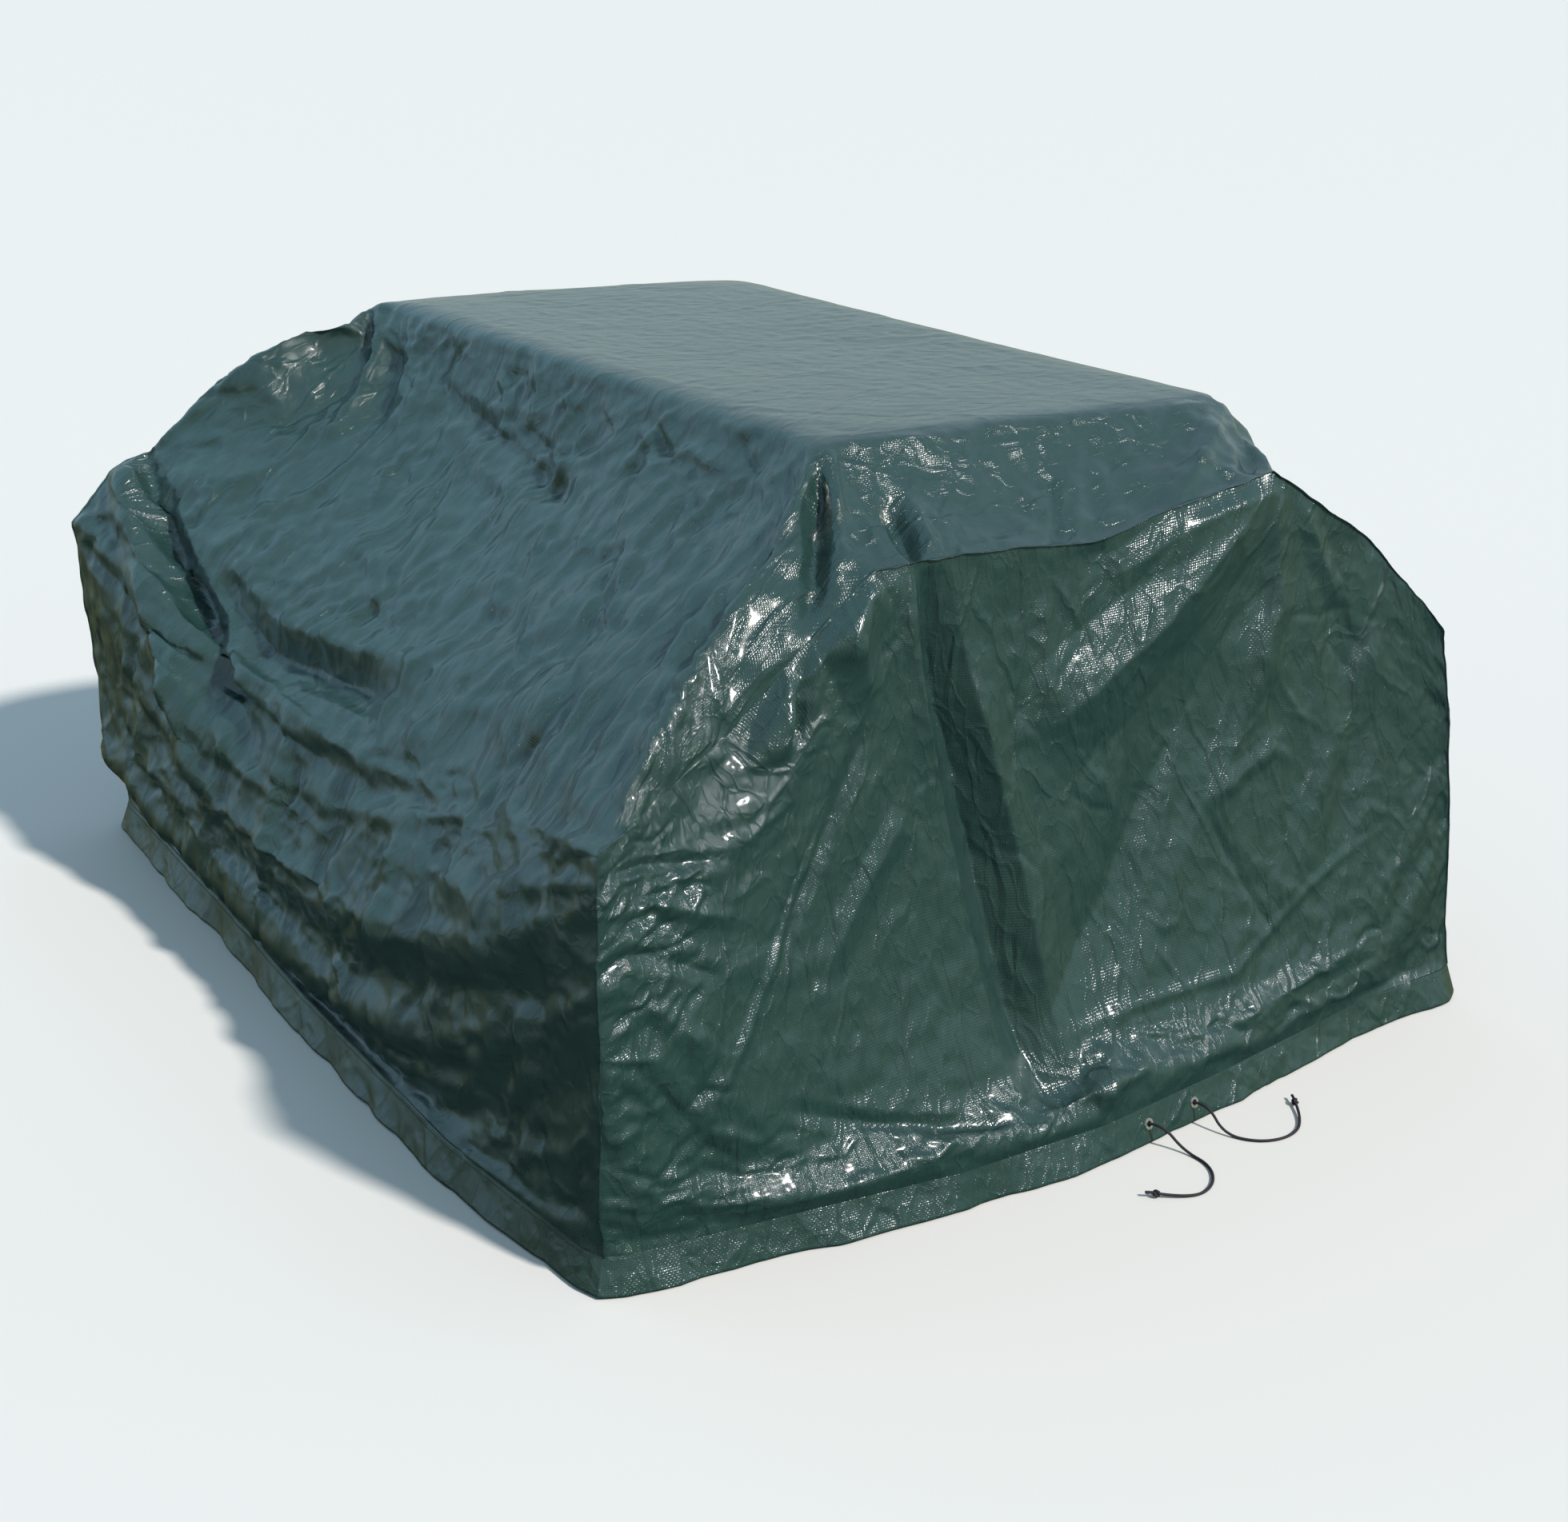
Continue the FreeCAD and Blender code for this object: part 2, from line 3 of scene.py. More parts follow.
import bmesh
import bpy
import numpy as np
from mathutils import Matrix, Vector


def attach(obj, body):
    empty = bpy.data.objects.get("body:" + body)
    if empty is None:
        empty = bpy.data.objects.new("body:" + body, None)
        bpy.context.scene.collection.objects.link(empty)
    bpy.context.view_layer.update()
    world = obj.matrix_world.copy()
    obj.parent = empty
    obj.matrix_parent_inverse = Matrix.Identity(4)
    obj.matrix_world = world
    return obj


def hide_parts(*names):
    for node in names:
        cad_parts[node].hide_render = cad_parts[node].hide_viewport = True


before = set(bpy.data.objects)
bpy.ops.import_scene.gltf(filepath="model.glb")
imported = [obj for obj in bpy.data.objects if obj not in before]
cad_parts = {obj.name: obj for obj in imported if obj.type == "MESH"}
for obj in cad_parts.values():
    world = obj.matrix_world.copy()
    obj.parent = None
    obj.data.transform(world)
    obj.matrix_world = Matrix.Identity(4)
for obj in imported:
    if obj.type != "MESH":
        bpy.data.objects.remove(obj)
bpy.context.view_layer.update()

# Camera: eye height of a person standing off the near corner of the cover, looking down at it.
camera_data = bpy.data.cameras.new("camera")
camera_data.lens = 48.5
camera_data.sensor_width = 36.0
camera = bpy.data.objects.new("camera", camera_data)
bpy.context.collection.objects.link(camera)
camera.location = (-1.831, -2.730, 1.500)
camera.rotation_euler = (math.radians(69.355), math.radians(-1.665), math.radians(-34.360))
bpy.context.scene.camera = camera

# Floor and light: a pale matt floor, a key from the front right that stands for a high sun, and
# soft surroundings: blue above, olive below, and a wide cool glow behind on the left that the
# sheet mirrors on the slopes facing it.
bpy.ops.object.select_all(action="DESELECT")
bpy.ops.mesh.primitive_plane_add(size=600.0, location=(0.0, 0.0, -0.0005))
floor = bpy.context.object
floor.name = "floor"
floor_paint = bpy.data.materials.new("floor_paint")
floor_paint.use_nodes = True
floor_shader = floor_paint.node_tree.nodes["Principled BSDF"]
floor_shader.inputs["Base Color"].default_value = (0.64, 0.62, 0.59, 1.0)
floor_shader.inputs["Roughness"].default_value = 0.9
floor.data.materials.append(floor_paint)

sun = bpy.data.lights.new("key", "SUN")
sun.energy = 4.4
sun.angle = math.radians(4.0)
sun.color = (1.0, 0.96, 0.91)
key = bpy.data.objects.new("key", sun)
bpy.context.collection.objects.link(key)
key.rotation_euler = Vector((-0.22, 0.70, -0.68)).to_track_quat("-Z", "Y").to_euler()
world = bpy.data.worlds.new("studio")
world.use_nodes = True
sky_nodes, sky_links = world.node_tree.nodes, world.node_tree.links
upward = sky_nodes.new("ShaderNodeSeparateXYZ")
direction = sky_nodes.new("ShaderNodeTexCoord")
sky_links.new(direction.outputs["Generated"], upward.inputs["Vector"])
height_share = sky_nodes.new("ShaderNodeMapRange")
height_share.inputs["From Min"].default_value = -1.0
height_share.inputs["From Max"].default_value = 1.0
sky_links.new(upward.outputs["Z"], height_share.inputs["Value"])
backdrop = sky_nodes.new("ShaderNodeValToRGB")
stops = backdrop.color_ramp.elements
stops[0].position, stops[0].color = 0.25, (0.012, 0.015, 0.012, 1.0)
stops[1].position, stops[1].color = 0.75, (0.38, 0.52, 0.66, 1.0)
for place, colour in ((0.47, (0.22, 0.24, 0.10, 1.0)), (0.52, (0.50, 0.62, 0.60, 1.0))):
    stops.new(place).color = colour
sky_links.new(height_share.outputs["Result"], backdrop.inputs["Fac"])
glow_share = sky_nodes.new("ShaderNodeVectorMath")
glow_share.operation = "DOT_PRODUCT"
glow_share.inputs[1].default_value = (-0.41, 0.73, 0.54)
sky_links.new(direction.outputs["Generated"], glow_share.inputs[0])
glow = sky_nodes.new("ShaderNodeMapRange")
glow.interpolation_type = "SMOOTHSTEP"
glow.inputs["From Min"].default_value = 0.62
glow.inputs["From Max"].default_value = 1.0
sky_links.new(glow_share.outputs["Value"], glow.inputs["Value"])
lit = sky_nodes.new("ShaderNodeMix")
lit.data_type = "RGBA"
sky_links.new(glow.outputs["Result"], lit.inputs["Factor"])
lit_colours = [slot for slot in lit.inputs if slot.type == "RGBA"]
lit_colours[1].default_value = (0.46, 0.80, 1.02, 1.0)
sky_links.new(backdrop.outputs["Color"], lit_colours[0])
lit_result = [slot for slot in lit.outputs if slot.type == "RGBA"][0]
sky_links.new(lit_result, sky_nodes["Background"].inputs["Color"])
sky_nodes["Background"].inputs["Strength"].default_value = 0.9
bpy.context.scene.world = world
bpy.context.scene.view_settings.view_transform = "Standard"
floor.visible_glossy = False

# Cover cloth: a coated polyethylene sheet woven from flat tapes, cut as one long panel that
# wraps over from left hem to right hem and two end panels sewn into it, front and back.
# It is laid over something with a flat raised top, so it stands in ridges from that top's
# corners to its own sewn corners and hangs slack between them.
SHIFT = np.array((-0.7730, -0.8675, 0.0))
WRAP_LENGTH, DEPTH, SKIRT = 3.25, 1.85, 0.70
TOP_WIDTH = WRAP_LENGTH - 2 * SKIRT

# One line of the wrap per crease, running front to back: (s, [(t, x, y, z), ...]), with s the
# distance over the cover from the left casing and t the distance from the front seam.
WRAP_LINES = [
    (0.00, [(0, .012, .012, .05), (.04, 0, .04, .05), (.37, -.030, .35, .05), (.89, -.027, .84, .05),
            (1.31, -.012, 1.242, .05), (1.81, 0, 1.71, .05), (1.85, .012, 1.738, .05)]),
    (0.045, [(0, .008, .008, .09), (.05, 0, .045, .09), (.22, -.016, .20, .076), (.41, -.018, .38, .066),
             (.65, -.014, .61, .076), (.98, -.010, .93, .09), (1.31, -.004, 1.24, .09),
             (1.67, -.004, 1.60, .09), (1.79, 0, 1.71, .09), (1.85, .010, 1.742, .09)]),
    (0.10, [(0, .004, .004, .14), (.06, -.003, .05, .13), (.22, -.022, .20, .115), (.41, -.042, .38, .100),
            (.65, -.052, .61, .118), (.98, -.056, .93, .155), (1.31, -.054, 1.24, .165),
            (1.67, -.060, 1.60, .165), (1.79, -.050, 1.71, .150), (1.85, -.010, 1.745, .140)]),
    (0.33, [(0, 0, 0, .34), (.06, -.004, .05, .33), (.25, -.012, .23, .31), (.42, -.026, .40, .29),
            (.89, -.034, .84, .29), (1.31, -.036, 1.24, .28), (1.77, -.038, 1.70, .36),
            (1.85, -.022, 1.775, .36)]),
    (0.56, [(0, 0, 0, .50), (.07, .002, .06, .495), (.21, .008, .20, .47), (.41, .020, .40, .44),
            (.65, .028, .63, .445), (.89, .030, .85, .47), (1.31, .018, 1.25, .50), (1.62, -.010, 1.56, .54),
            (1.79, -.042, 1.715, .57), (1.85, -.040, 1.760, .565)]),
    (0.70, [(0, 0, 0, .58), (.07, .006, .06, .573), (.21, .022, .20, .545), (.41, .045, .40, .515),
            (.65, .062, .63, .530), (.89, .070, .85, .565), (1.31, .055, 1.25, .605),
            (1.62, .040, 1.55, .645), (1.79, .020, 1.70, .668), (1.85, .024, 1.738, .655)]),
    (0.84, [(0, .093, .057, .593), (.08, .125, .072, .680), (.24, .140, .22, .665), (.42, .160, .40, .655),
            (.89, .149, .85, .666), (1.31, .150, 1.25, .690), (1.68, .155, 1.60, .745),
            (1.79, .118, 1.70, .745), (1.85, .138, 1.708, .700)]),
    (0.97, [(0, .163, .076, .622), (.10, .190, .110, .730), (.25, .255, .235, .762), (.43, .272, .41, .752),
            (.89, .268, .85, .738), (1.31, .270, 1.25, .755), (1.60, .275, 1.52, .806),
            (1.76, .225, 1.665, .858), (1.85, .212, 1.698, .800)]),
    (1.10, [(0, .234, .095, .652), (.13, .250, .142, .777), (.26, .365, .25, .866), (.44, .385, .42, .850),
            (.89, .390, .85, .815), (1.31, .390, 1.25, .820), (1.53, .390, 1.45, .850),
            (1.67, .395, 1.59, .922), (1.76, .335, 1.64, .914), (1.85, .296, 1.688, .835)]),
    (1.28, [(0, .437, .102, .820), (.205, .467, .265, .945), (.45, .467, .42, .944), (.89, .467, .85, .945),
            (1.31, .467, 1.25, .944), (1.65, .467, 1.578, .945), (1.85, .452, 1.68, .852)]),
    (1.53, [(0, .601, .102, .824), (.205, .700, .262, .944), (.89, .700, .85, .938), (1.31, .700, 1.25, .940),
            (1.65, .700, 1.578, .944), (1.85, .640, 1.68, .832)]),
    (1.78, [(0, .803, .102, .813), (.205, .960, .262, .943), (.89, .960, .85, .938), (1.31, .960, 1.25, .940),
            (1.65, .960, 1.578, .944), (1.85, .905, 1.68, .832)]),
    (2.03, [(0, 1.123, .106, .874), (.205, 1.206, .265, .945), (.89, 1.206, .85, .944),
            (1.31, 1.206, 1.25, .944), (1.65, 1.206, 1.578, .945), (1.85, 1.154, 1.68, .846)]),
    (2.28, [(0, 1.345, .096, .739), (.15, 1.350, .20, .800), (.42, 1.370, .40, .790), (.89, 1.380, .85, .780),
            (1.31, 1.380, 1.25, .785), (1.68, 1.360, 1.60, .800), (1.85, 1.351, 1.69, .737)]),
    (2.55, [(0, 1.482, .050, .603), (.10, 1.500, .12, .635), (.42, 1.514, .40, .610), (.89, 1.521, .85, .600),
            (1.31, 1.520, 1.25, .605), (1.75, 1.510, 1.65, .630), (1.85, 1.516, 1.730, .609)]),
    (2.92, [(0, 1.520, .035, .34), (.08, 1.540, .10, .35), (.42, 1.546, .40, .35), (.89, 1.553, .85, .35),
            (1.31, 1.550, 1.25, .35), (1.77, 1.542, 1.68, .35), (1.85, 1.535, 1.742, .34)]),
    (3.17, [(0, 1.540, .022, .125), (.06, 1.554, .06, .13), (.42, 1.563, .40, .13), (.89, 1.571, .84, .13),
            (1.31, 1.566, 1.242, .13), (1.79, 1.556, 1.70, .13), (1.85, 1.544, 1.742, .125)]),
    (3.25, [(0, 1.548, .012, .05), (.04, 1.560, .04, .05), (.37, 1.573, .35, .05), (.89, 1.576, .84, .05),
            (1.31, 1.573, 1.242, .05), (1.81, 1.560, 1.71, .05), (1.85, 1.548, 1.738, .05)]),
]

# Lines across the end panels at their height v above the casing: (v, [(u, x, y, z), ...]).
FRONT_LINES = [
    (0.00, [(0, .012, .012, .05), (.04, .04, 0, .05), (.29, .25, -.030, .05), (.59, .50, -.0675, .05),
            (.88, .741, -.075, .05), (1.18, .998, -.049, .05), (1.53, 1.295, -.0075, .05),
            (1.81, 1.52, 0, .05), (1.85, 1.548, .012, .05)]),
    (0.05, [(.05, .045, .002, .09), (.18, .16, -.020, .09), (.29, .25, -.046, .092), (.59, .50, -.088, .100),
            (.88, .741, -.096, .102), (1.0, .85, -.082, .104), (1.18, .998, -.056, .098),
            (1.53, 1.295, -.008, .095), (1.80, 1.51, .012, .09)]),
    (0.12, [(.05, .045, 0, .15), (.18, .16, -.004, .135), (.29, .25, -.018, .132), (.59, .49, -.038, .135),
            (.88, .73, -.042, .140), (1.0, .84, -.036, .150), (1.18, .99, -.028, .150),
            (1.53, 1.28, .002, .150), (1.80, 1.51, .016, .150)]),
    (0.33, [(.06, .06, .002, .36), (.29, .24, -.012, .39), (.59, .465, -.010, .43), (.88, .70, -.008, .43),
            (1.18, .95, 0, .44), (1.53, 1.25, .010, .41), (1.78, 1.48, .025, .36)]),
    (0.52, [(.10, .085, .020, .500), (.29, .22, .030, .530), (.59, .455, .042, .640), (.88, .65, .045, .640),
            (1.18, .89, .045, .650), (1.42, 1.13, .050, .660), (1.60, 1.33, .050, .590),
            (1.79, 1.48, .055, .490)]),
]
BACK_LINES = [
    (0.00, [(0, .012, 1.738, .05), (.04, .04, 1.75, .05), (.29, .25, 1.768, .05), (.62, .53, 1.798, .05),
            (.92, .78, 1.810, .05), (1.18, .998, 1.798, .05), (1.53, 1.295, 1.768, .05),
            (1.81, 1.52, 1.75, .05), (1.85, 1.548, 1.738, .05)]),
    (0.08, [(.05, .045, 1.755, .12), (.29, .25, 1.775, .13), (.62, .53, 1.795, .13), (.92, .77, 1.800, .135),
            (1.18, .99, 1.790, .135), (1.53, 1.29, 1.768, .13), (1.80, 1.51, 1.745, .125)]),
    (0.33, [(.06, .06, 1.785, .36), (.29, .24, 1.775, .40), (.62, .50, 1.765, .43), (.92, .74, 1.762, .44),
            (1.18, .96, 1.760, .44), (1.53, 1.27, 1.755, .41), (1.78, 1.49, 1.750, .36)]),
    (0.52, [(.10, .10, 1.768, .54), (.29, .23, 1.745, .58), (.62, .47, 1.720, .640), (.92, .70, 1.718, .640),
            (1.18, .92, 1.718, .640), (1.53, 1.28, 1.722, .580), (1.79, 1.50, 1.740, .500)]),
]


def along_line(line, t):
    """Places at the distances t along one line of points."""
    line = np.array(line)
    return np.stack([np.interp(t, line[:, 0], line[:, k]) for k in (1, 2, 3)], -1)


def wrap_places(s, t):
    """Places on the wrap for arrays of s and t, straight between its lines."""
    stations = np.array([line[0] for line in WRAP_LINES])
    places = np.stack([along_line(line[1], t) for line in WRAP_LINES])
    high = np.clip(np.searchsorted(stations, s, side="right"), 1, len(stations) - 1)
    low = high - 1
    share = ((s - stations[low]) / (stations[high] - stations[low]))[..., None]
    pick = np.arange(s.size).reshape(s.shape)
    flat = places.reshape(len(stations), -1, 3)
    near = flat[low.ravel(), pick.ravel()].reshape(s.shape + (3,))
    far = flat[high.ravel(), pick.ravel()].reshape(s.shape + (3,))
    return near * (1 - share) + far * share


def end_places(lines, edge_t, u, v):
    """Places on an end panel, whose left, upper and right edges are the wrap's edge."""
    def edge(s):
        return wrap_places(s, np.full_like(s, edge_t))

    left, right = edge(v), edge(WRAP_LENGTH - v)
    heights = [line[0] for line in lines] + [SKIRT]
    rows = []
    for height, points in lines:
        ends = edge(np.array([height, WRAP_LENGTH - height]))
        first, last = (0.0, *ends[0]), (TOP_WIDTH, *ends[1])
        middle = [p for p in points if 0 < p[0] < TOP_WIDTH]
        rows.append(along_line([first] + middle + [last], u))
    rows.append(edge(SKIRT + u))
    stations = np.array(heights)
    high = np.clip(np.searchsorted(stations, v, side="right"), 1, len(stations) - 1)
    low = high - 1
    share = ((v - stations[low]) / (stations[high] - stations[low]))[..., None]
    stack = np.stack(rows).reshape(len(stations), -1, 3)
    pick = np.arange(u.size)
    near = stack[low.ravel(), pick].reshape(u.shape + (3,))
    far = stack[high.ravel(), pick].reshape(u.shape + (3,))
    inside = near * (1 - share) + far * share
    inside[u <= 0] = left[u <= 0]
    inside[u >= TOP_WIDTH] = right[u >= TOP_WIDTH]
    return inside


def quads(rows, cols, turn):
    """Faces of a grid of rows x cols points, wound one way or the other."""
    r, c = np.meshgrid(np.arange(rows - 1), np.arange(cols - 1), indexing="ij")
    a = (r * cols + c).ravel()
    faces = np.stack([a, a + 1, a + cols + 1, a + cols], -1)
    return faces[:, ::-1] if turn else faces


def smooth_grid(grid, turns):
    """Rounds a grid of places a little, leaving its rim where it is."""
    for _ in range(turns):
        result = grid.copy()
        result[1:-1, 1:-1] = (grid[1:-1, 1:-1] * 4 + grid[:-2, 1:-1] + grid[2:, 1:-1]
                              + grid[1:-1, :-2] + grid[1:-1, 2:]) / 8
        grid = result
    return grid


def grid_directions(grid):
    """Unit normals of a grid of places."""
    down = np.gradient(grid, axis=0)
    along = np.gradient(grid, axis=1)
    normal = np.cross(down, along)
    return normal / np.maximum(np.linalg.norm(normal, axis=-1, keepdims=True), 1e-9)


def facets(u, v, size, seed, angle=0.0, stretch=1.0):
    """Height from -1 to 1 of a sheet crumpled into flat facets about one size across."""
    rng = np.random.default_rng(seed)
    table = rng.uniform(-1, 1, (256, 256))
    wander = rng.uniform(-1, 1, (2, 256, 256))
    turn_u = u * math.cos(angle) + v * math.sin(angle)
    turn_v = -u * math.sin(angle) + v * math.cos(angle)
    p, q = turn_u / (size * stretch), turn_v / size

    def soft(grid, a, b):
        i, j = np.floor(a).astype(int), np.floor(b).astype(int)
        f, g = a - i, b - j
        f, g = f * f * (3 - 2 * f), g * g * (3 - 2 * g)
        i0, j0, i1, j1 = i % 256, j % 256, (i + 1) % 256, (j + 1) % 256
        return ((grid[i0, j0] * (1 - f) + grid[i1, j0] * f) * (1 - g)
                + (grid[i0, j1] * (1 - f) + grid[i1, j1] * f) * g)

    p2 = p + 0.55 * soft(wander[0], p * 0.9, q * 0.9)
    q2 = q + 0.55 * soft(wander[1], p * 0.9, q * 0.9)
    i, j = np.floor(p2).astype(int), np.floor(q2).astype(int)
    f, g = p2 - i, q2 - j
    h00 = table[i % 256, j % 256]
    h10 = table[(i + 1) % 256, j % 256]
    h01 = table[i % 256, (j + 1) % 256]
    h11 = table[(i + 1) % 256, (j + 1) % 256]
    near = h00 + f * (h10 - h00) + g * (h01 - h00)
    far = h11 + (1 - f) * (h01 - h11) + (1 - g) * (h10 - h11)
    return np.where(f + g < 1, near, far)


def fold(u, v, path, width, height, power=1.0):
    """A ridge, or a valley where height is negative, along a path, fading at its ends."""
    path = np.array(path, float)
    best = np.full(u.shape, 1e9)
    place = np.zeros(u.shape)
    lengths = np.linalg.norm(np.diff(path, axis=0), axis=1)
    total = lengths.sum()
    start = 0.0
    for (u0, v0), (u1, v1), length in zip(path, path[1:], lengths):
        du, dv = u1 - u0, v1 - v0
        share = np.clip(((u - u0) * du + (v - v0) * dv) / length ** 2, 0, 1)
        d = np.hypot(u - u0 - share * du, v - v0 - share * dv)
        closer = d < best
        best = np.where(closer, d, best)
        place = np.where(closer, (start + share * length) / total, place)
        start += length
    taper = np.clip(np.minimum(place, 1 - place) * 4 + 0.12, 0, 1)
    profile = np.clip(1 - best / width, 0, 1)
    return height * taper * profile ** power


def strewn(u, v, count, box, bend, width, height, seed, lean=0.0, spread=1.6):
    """Many short sharp creases strewn over a box (u0, v0, u1, v1), some up and some down."""
    rng = np.random.default_rng(seed)
    total = np.zeros(u.shape)
    for _ in range(count):
        middle = np.array((rng.uniform(box[0], box[2]), rng.uniform(box[1], box[3])))
        angle = lean + rng.uniform(-spread, spread)
        half = rng.uniform(0.35, 1.0) * bend
        step = np.array((math.cos(angle), math.sin(angle))) * half
        side = np.array((-step[1], step[0])) * rng.uniform(-0.5, 0.5)
        path = [middle - step, middle + side, middle + step]
        reach = half + width
        rows = np.nonzero(np.abs(v[:, 0] - middle[1]) < reach)[0] if v[0, 0] == v[0, -1] else np.nonzero(
            np.abs(u[:, 0] - middle[0]) < reach)[0]
        if len(rows) < 2:
            continue
        part = slice(rows[0], rows[-1] + 1)
        total[part] += fold(u[part], v[part], path, width * rng.uniform(0.6, 1.3),
                            height * rng.uniform(0.4, 1.2) * rng.choice((-1, 1)))
    return total


def cubic_pick(grid, a, axis):
    """Catmull-Rom values of a grid at fractional places a along one axis."""
    count = grid.shape[axis]
    i = np.clip(np.floor(a).astype(int), 0, count - 2)
    f = (a - i).reshape([-1 if k == axis else 1 for k in range(grid.ndim)])
    take = [np.take(grid, np.clip(i + k, 0, count - 1), axis=axis) for k in (-1, 0, 1, 2)]
    take[0] = np.where((i == 0).reshape(f.shape), 2 * take[1] - take[2], take[0])
    take[3] = np.where((i == count - 2).reshape(f.shape), 2 * take[2] - take[1], take[3])
    p0, p1, p2, p3 = take
    return p1 + 0.5 * f * (p2 - p0 + f * (2 * p0 - 5 * p1 + 4 * p2 - p3 + f * (3 * (p1 - p2) + p3 - p0)))


SKIRT_CELLS, TOP_CELLS, DEPTH_CELLS = 40, 100, 100
coarse_s = np.concatenate([np.linspace(0, SKIRT, SKIRT_CELLS + 1),
                           np.linspace(SKIRT, SKIRT + TOP_WIDTH, TOP_CELLS + 1)[1:],
                           np.linspace(WRAP_LENGTH - SKIRT, WRAP_LENGTH, SKIRT_CELLS + 1)[1:]])
coarse_t = np.linspace(0, DEPTH, DEPTH_CELLS + 1)
coarse_u = np.linspace(0, TOP_WIDTH, TOP_CELLS + 1)
coarse_v = np.linspace(0, SKIRT, SKIRT_CELLS + 1)

wrap_s, wrap_t = np.meshgrid(coarse_s, coarse_t, indexing="ij")
end_v, end_u = np.meshgrid(coarse_v, coarse_u, indexing="ij")
wrap_grid = smooth_grid(wrap_places(wrap_s, wrap_t), 2)
front_grid = smooth_grid(end_places(FRONT_LINES, 0.0, end_u, end_v), 2)
back_grid = smooth_grid(end_places(BACK_LINES, DEPTH, end_u, end_v), 2)


def settle_cloth(wrap, front, back):
    """The three panels sewn into one cloth, given a little too much length everywhere, and
    let buckle and sag for a moment while its seams, casing and propped edges stay put."""
    rows, cols = wrap.shape[:2]
    index_w = np.arange(rows * cols).reshape(rows, cols)
    places = [wrap.reshape(-1, 3)]
    total = rows * cols
    indices = []
    for grid, column in ((front, 0), (back, cols - 1)):
        index = np.full(grid.shape[:2], -1)
        index[:, 0] = index_w[:SKIRT_CELLS + 1, column]
        index[-1, :] = index_w[SKIRT_CELLS:SKIRT_CELLS + TOP_CELLS + 1, column]
        index[:, -1] = index_w[SKIRT_CELLS + TOP_CELLS:, column][::-1]
        free = index < 0
        index[free] = total + np.arange(free.sum())
        places.append(grid[free])
        total += free.sum()
        indices.append(index)
    verts = np.concatenate(places)

    def faces_of(index, turn):
        a, b = index[:-1, :-1].ravel(), index[:-1, 1:].ravel()
        c, d = index[1:, 1:].ravel(), index[1:, :-1].ravel()
        return np.stack([a, b, c, d][::-1] if turn else [a, b, c, d], -1)

    faces = np.concatenate([faces_of(index_w, False), faces_of(indices[0], False),
                            faces_of(indices[1], True)])
    mesh = bpy.data.meshes.new("cloth_start")
    mesh.from_pydata(verts.tolist(), [], faces.tolist())
    cloth = bpy.data.objects.new("cloth_start", mesh)
    bpy.context.collection.objects.link(cloth)

    s, t = wrap_s, wrap_t
    hold = np.full(s.shape, 0.015)
    on_top = (s > 1.26) & (s < 2.05) & (t > 0.19) & (t < 1.67)
    hold[on_top] = 0.25
    hold = np.maximum(hold, 0.5 * fold(s, t, [(0.70, 0), (0.84, .08), (1.10, .13), (1.28, .205)], .04, 1))
    hold[:, 0] = hold[:, -1] = 0.6
    hold[0, :] = hold[-1, :] = 1.0
    pins = np.full(total, 0.015)
    pins[index_w.ravel()] = hold.ravel()
    for index in indices:
        pins[index[0, :]] = 1.0
    group = cloth.vertex_groups.new(name="hold")
    slack = cloth.vertex_groups.new(name="slack")
    for value in np.unique(pins):
        group.add(np.nonzero(pins == value)[0].tolist(), float(value), "REPLACE")
    give = np.ones(total)
    give[index_w[on_top]] = 0.25
    for value in np.unique(give):
        slack.add(np.nonzero(give == value)[0].tolist(), float(value), "REPLACE")

    modifier = cloth.modifiers.new("cloth", "CLOTH")
    settings = modifier.settings
    settings.quality = 5
    settings.mass = 0.05
    settings.air_damping = 3.0
    settings.tension_stiffness = settings.compression_stiffness = 40.0
    settings.shear_stiffness = 20.0
    settings.bending_stiffness = 0.02
    settings.tension_damping = settings.compression_damping = settings.shear_damping = 10.0
    settings.vertex_group_mass = "hold"
    settings.pin_stiffness = 2.0
    settings.vertex_group_shrink = "slack"
    settings.shrink_min = 0.0
    settings.shrink_max = -0.045
    modifier.collision_settings.use_collision = False
    scene = bpy.context.scene
    modifier.point_cache.frame_start = 1
    modifier.point_cache.frame_end = 24
    for number in range(1, 25):
        scene.frame_set(number)
    settled = cloth.evaluated_get(bpy.context.evaluated_depsgraph_get())
    result = np.empty(total * 3)
    settled.data.vertices.foreach_get("co", result)
    result = result.reshape(-1, 3)
    bpy.data.objects.remove(cloth)
    scene.frame_set(1)
    return result[index_w], result[indices[0]], result[indices[1]]


wrap_grid, front_grid, back_grid = settle_cloth(wrap_grid, front_grid, back_grid)

# Fine grids of the three panels, closer where the sheet carries more creases.
fine_s = np.concatenate([np.linspace(0, 2.05, 261), np.linspace(2.05, WRAP_LENGTH, 101)[1:]])
fine_t = np.linspace(0, DEPTH, 261)
fine_u = np.linspace(0, TOP_WIDTH, 461)
fine_v = np.linspace(0, SKIRT, 181)
back_u = np.linspace(0, TOP_WIDTH, 261)
back_v = np.linspace(0, SKIRT, 101)


def refine(grid, first, second, first_coarse, second_coarse):
    a = np.interp(first, first_coarse, np.arange(len(first_coarse)))
    b = np.interp(second, second_coarse, np.arange(len(second_coarse)))
    return cubic_pick(cubic_pick(grid, a, 0), b, 1)


def rim_fade(first, second, margin, rim):
    """1 inside a panel, falling over a margin to rim along its second pair of edges and to 0
    along the edges where it meets the casing."""
    ends = np.clip(first / margin, 0, 1) * np.clip((first.max() - first) / margin, 0, 1)
    sides = np.clip(np.minimum(second, second.max() - second) / margin, 0, 1) * (1 - rim) + rim
    return ends[:, None] * sides[None, :]


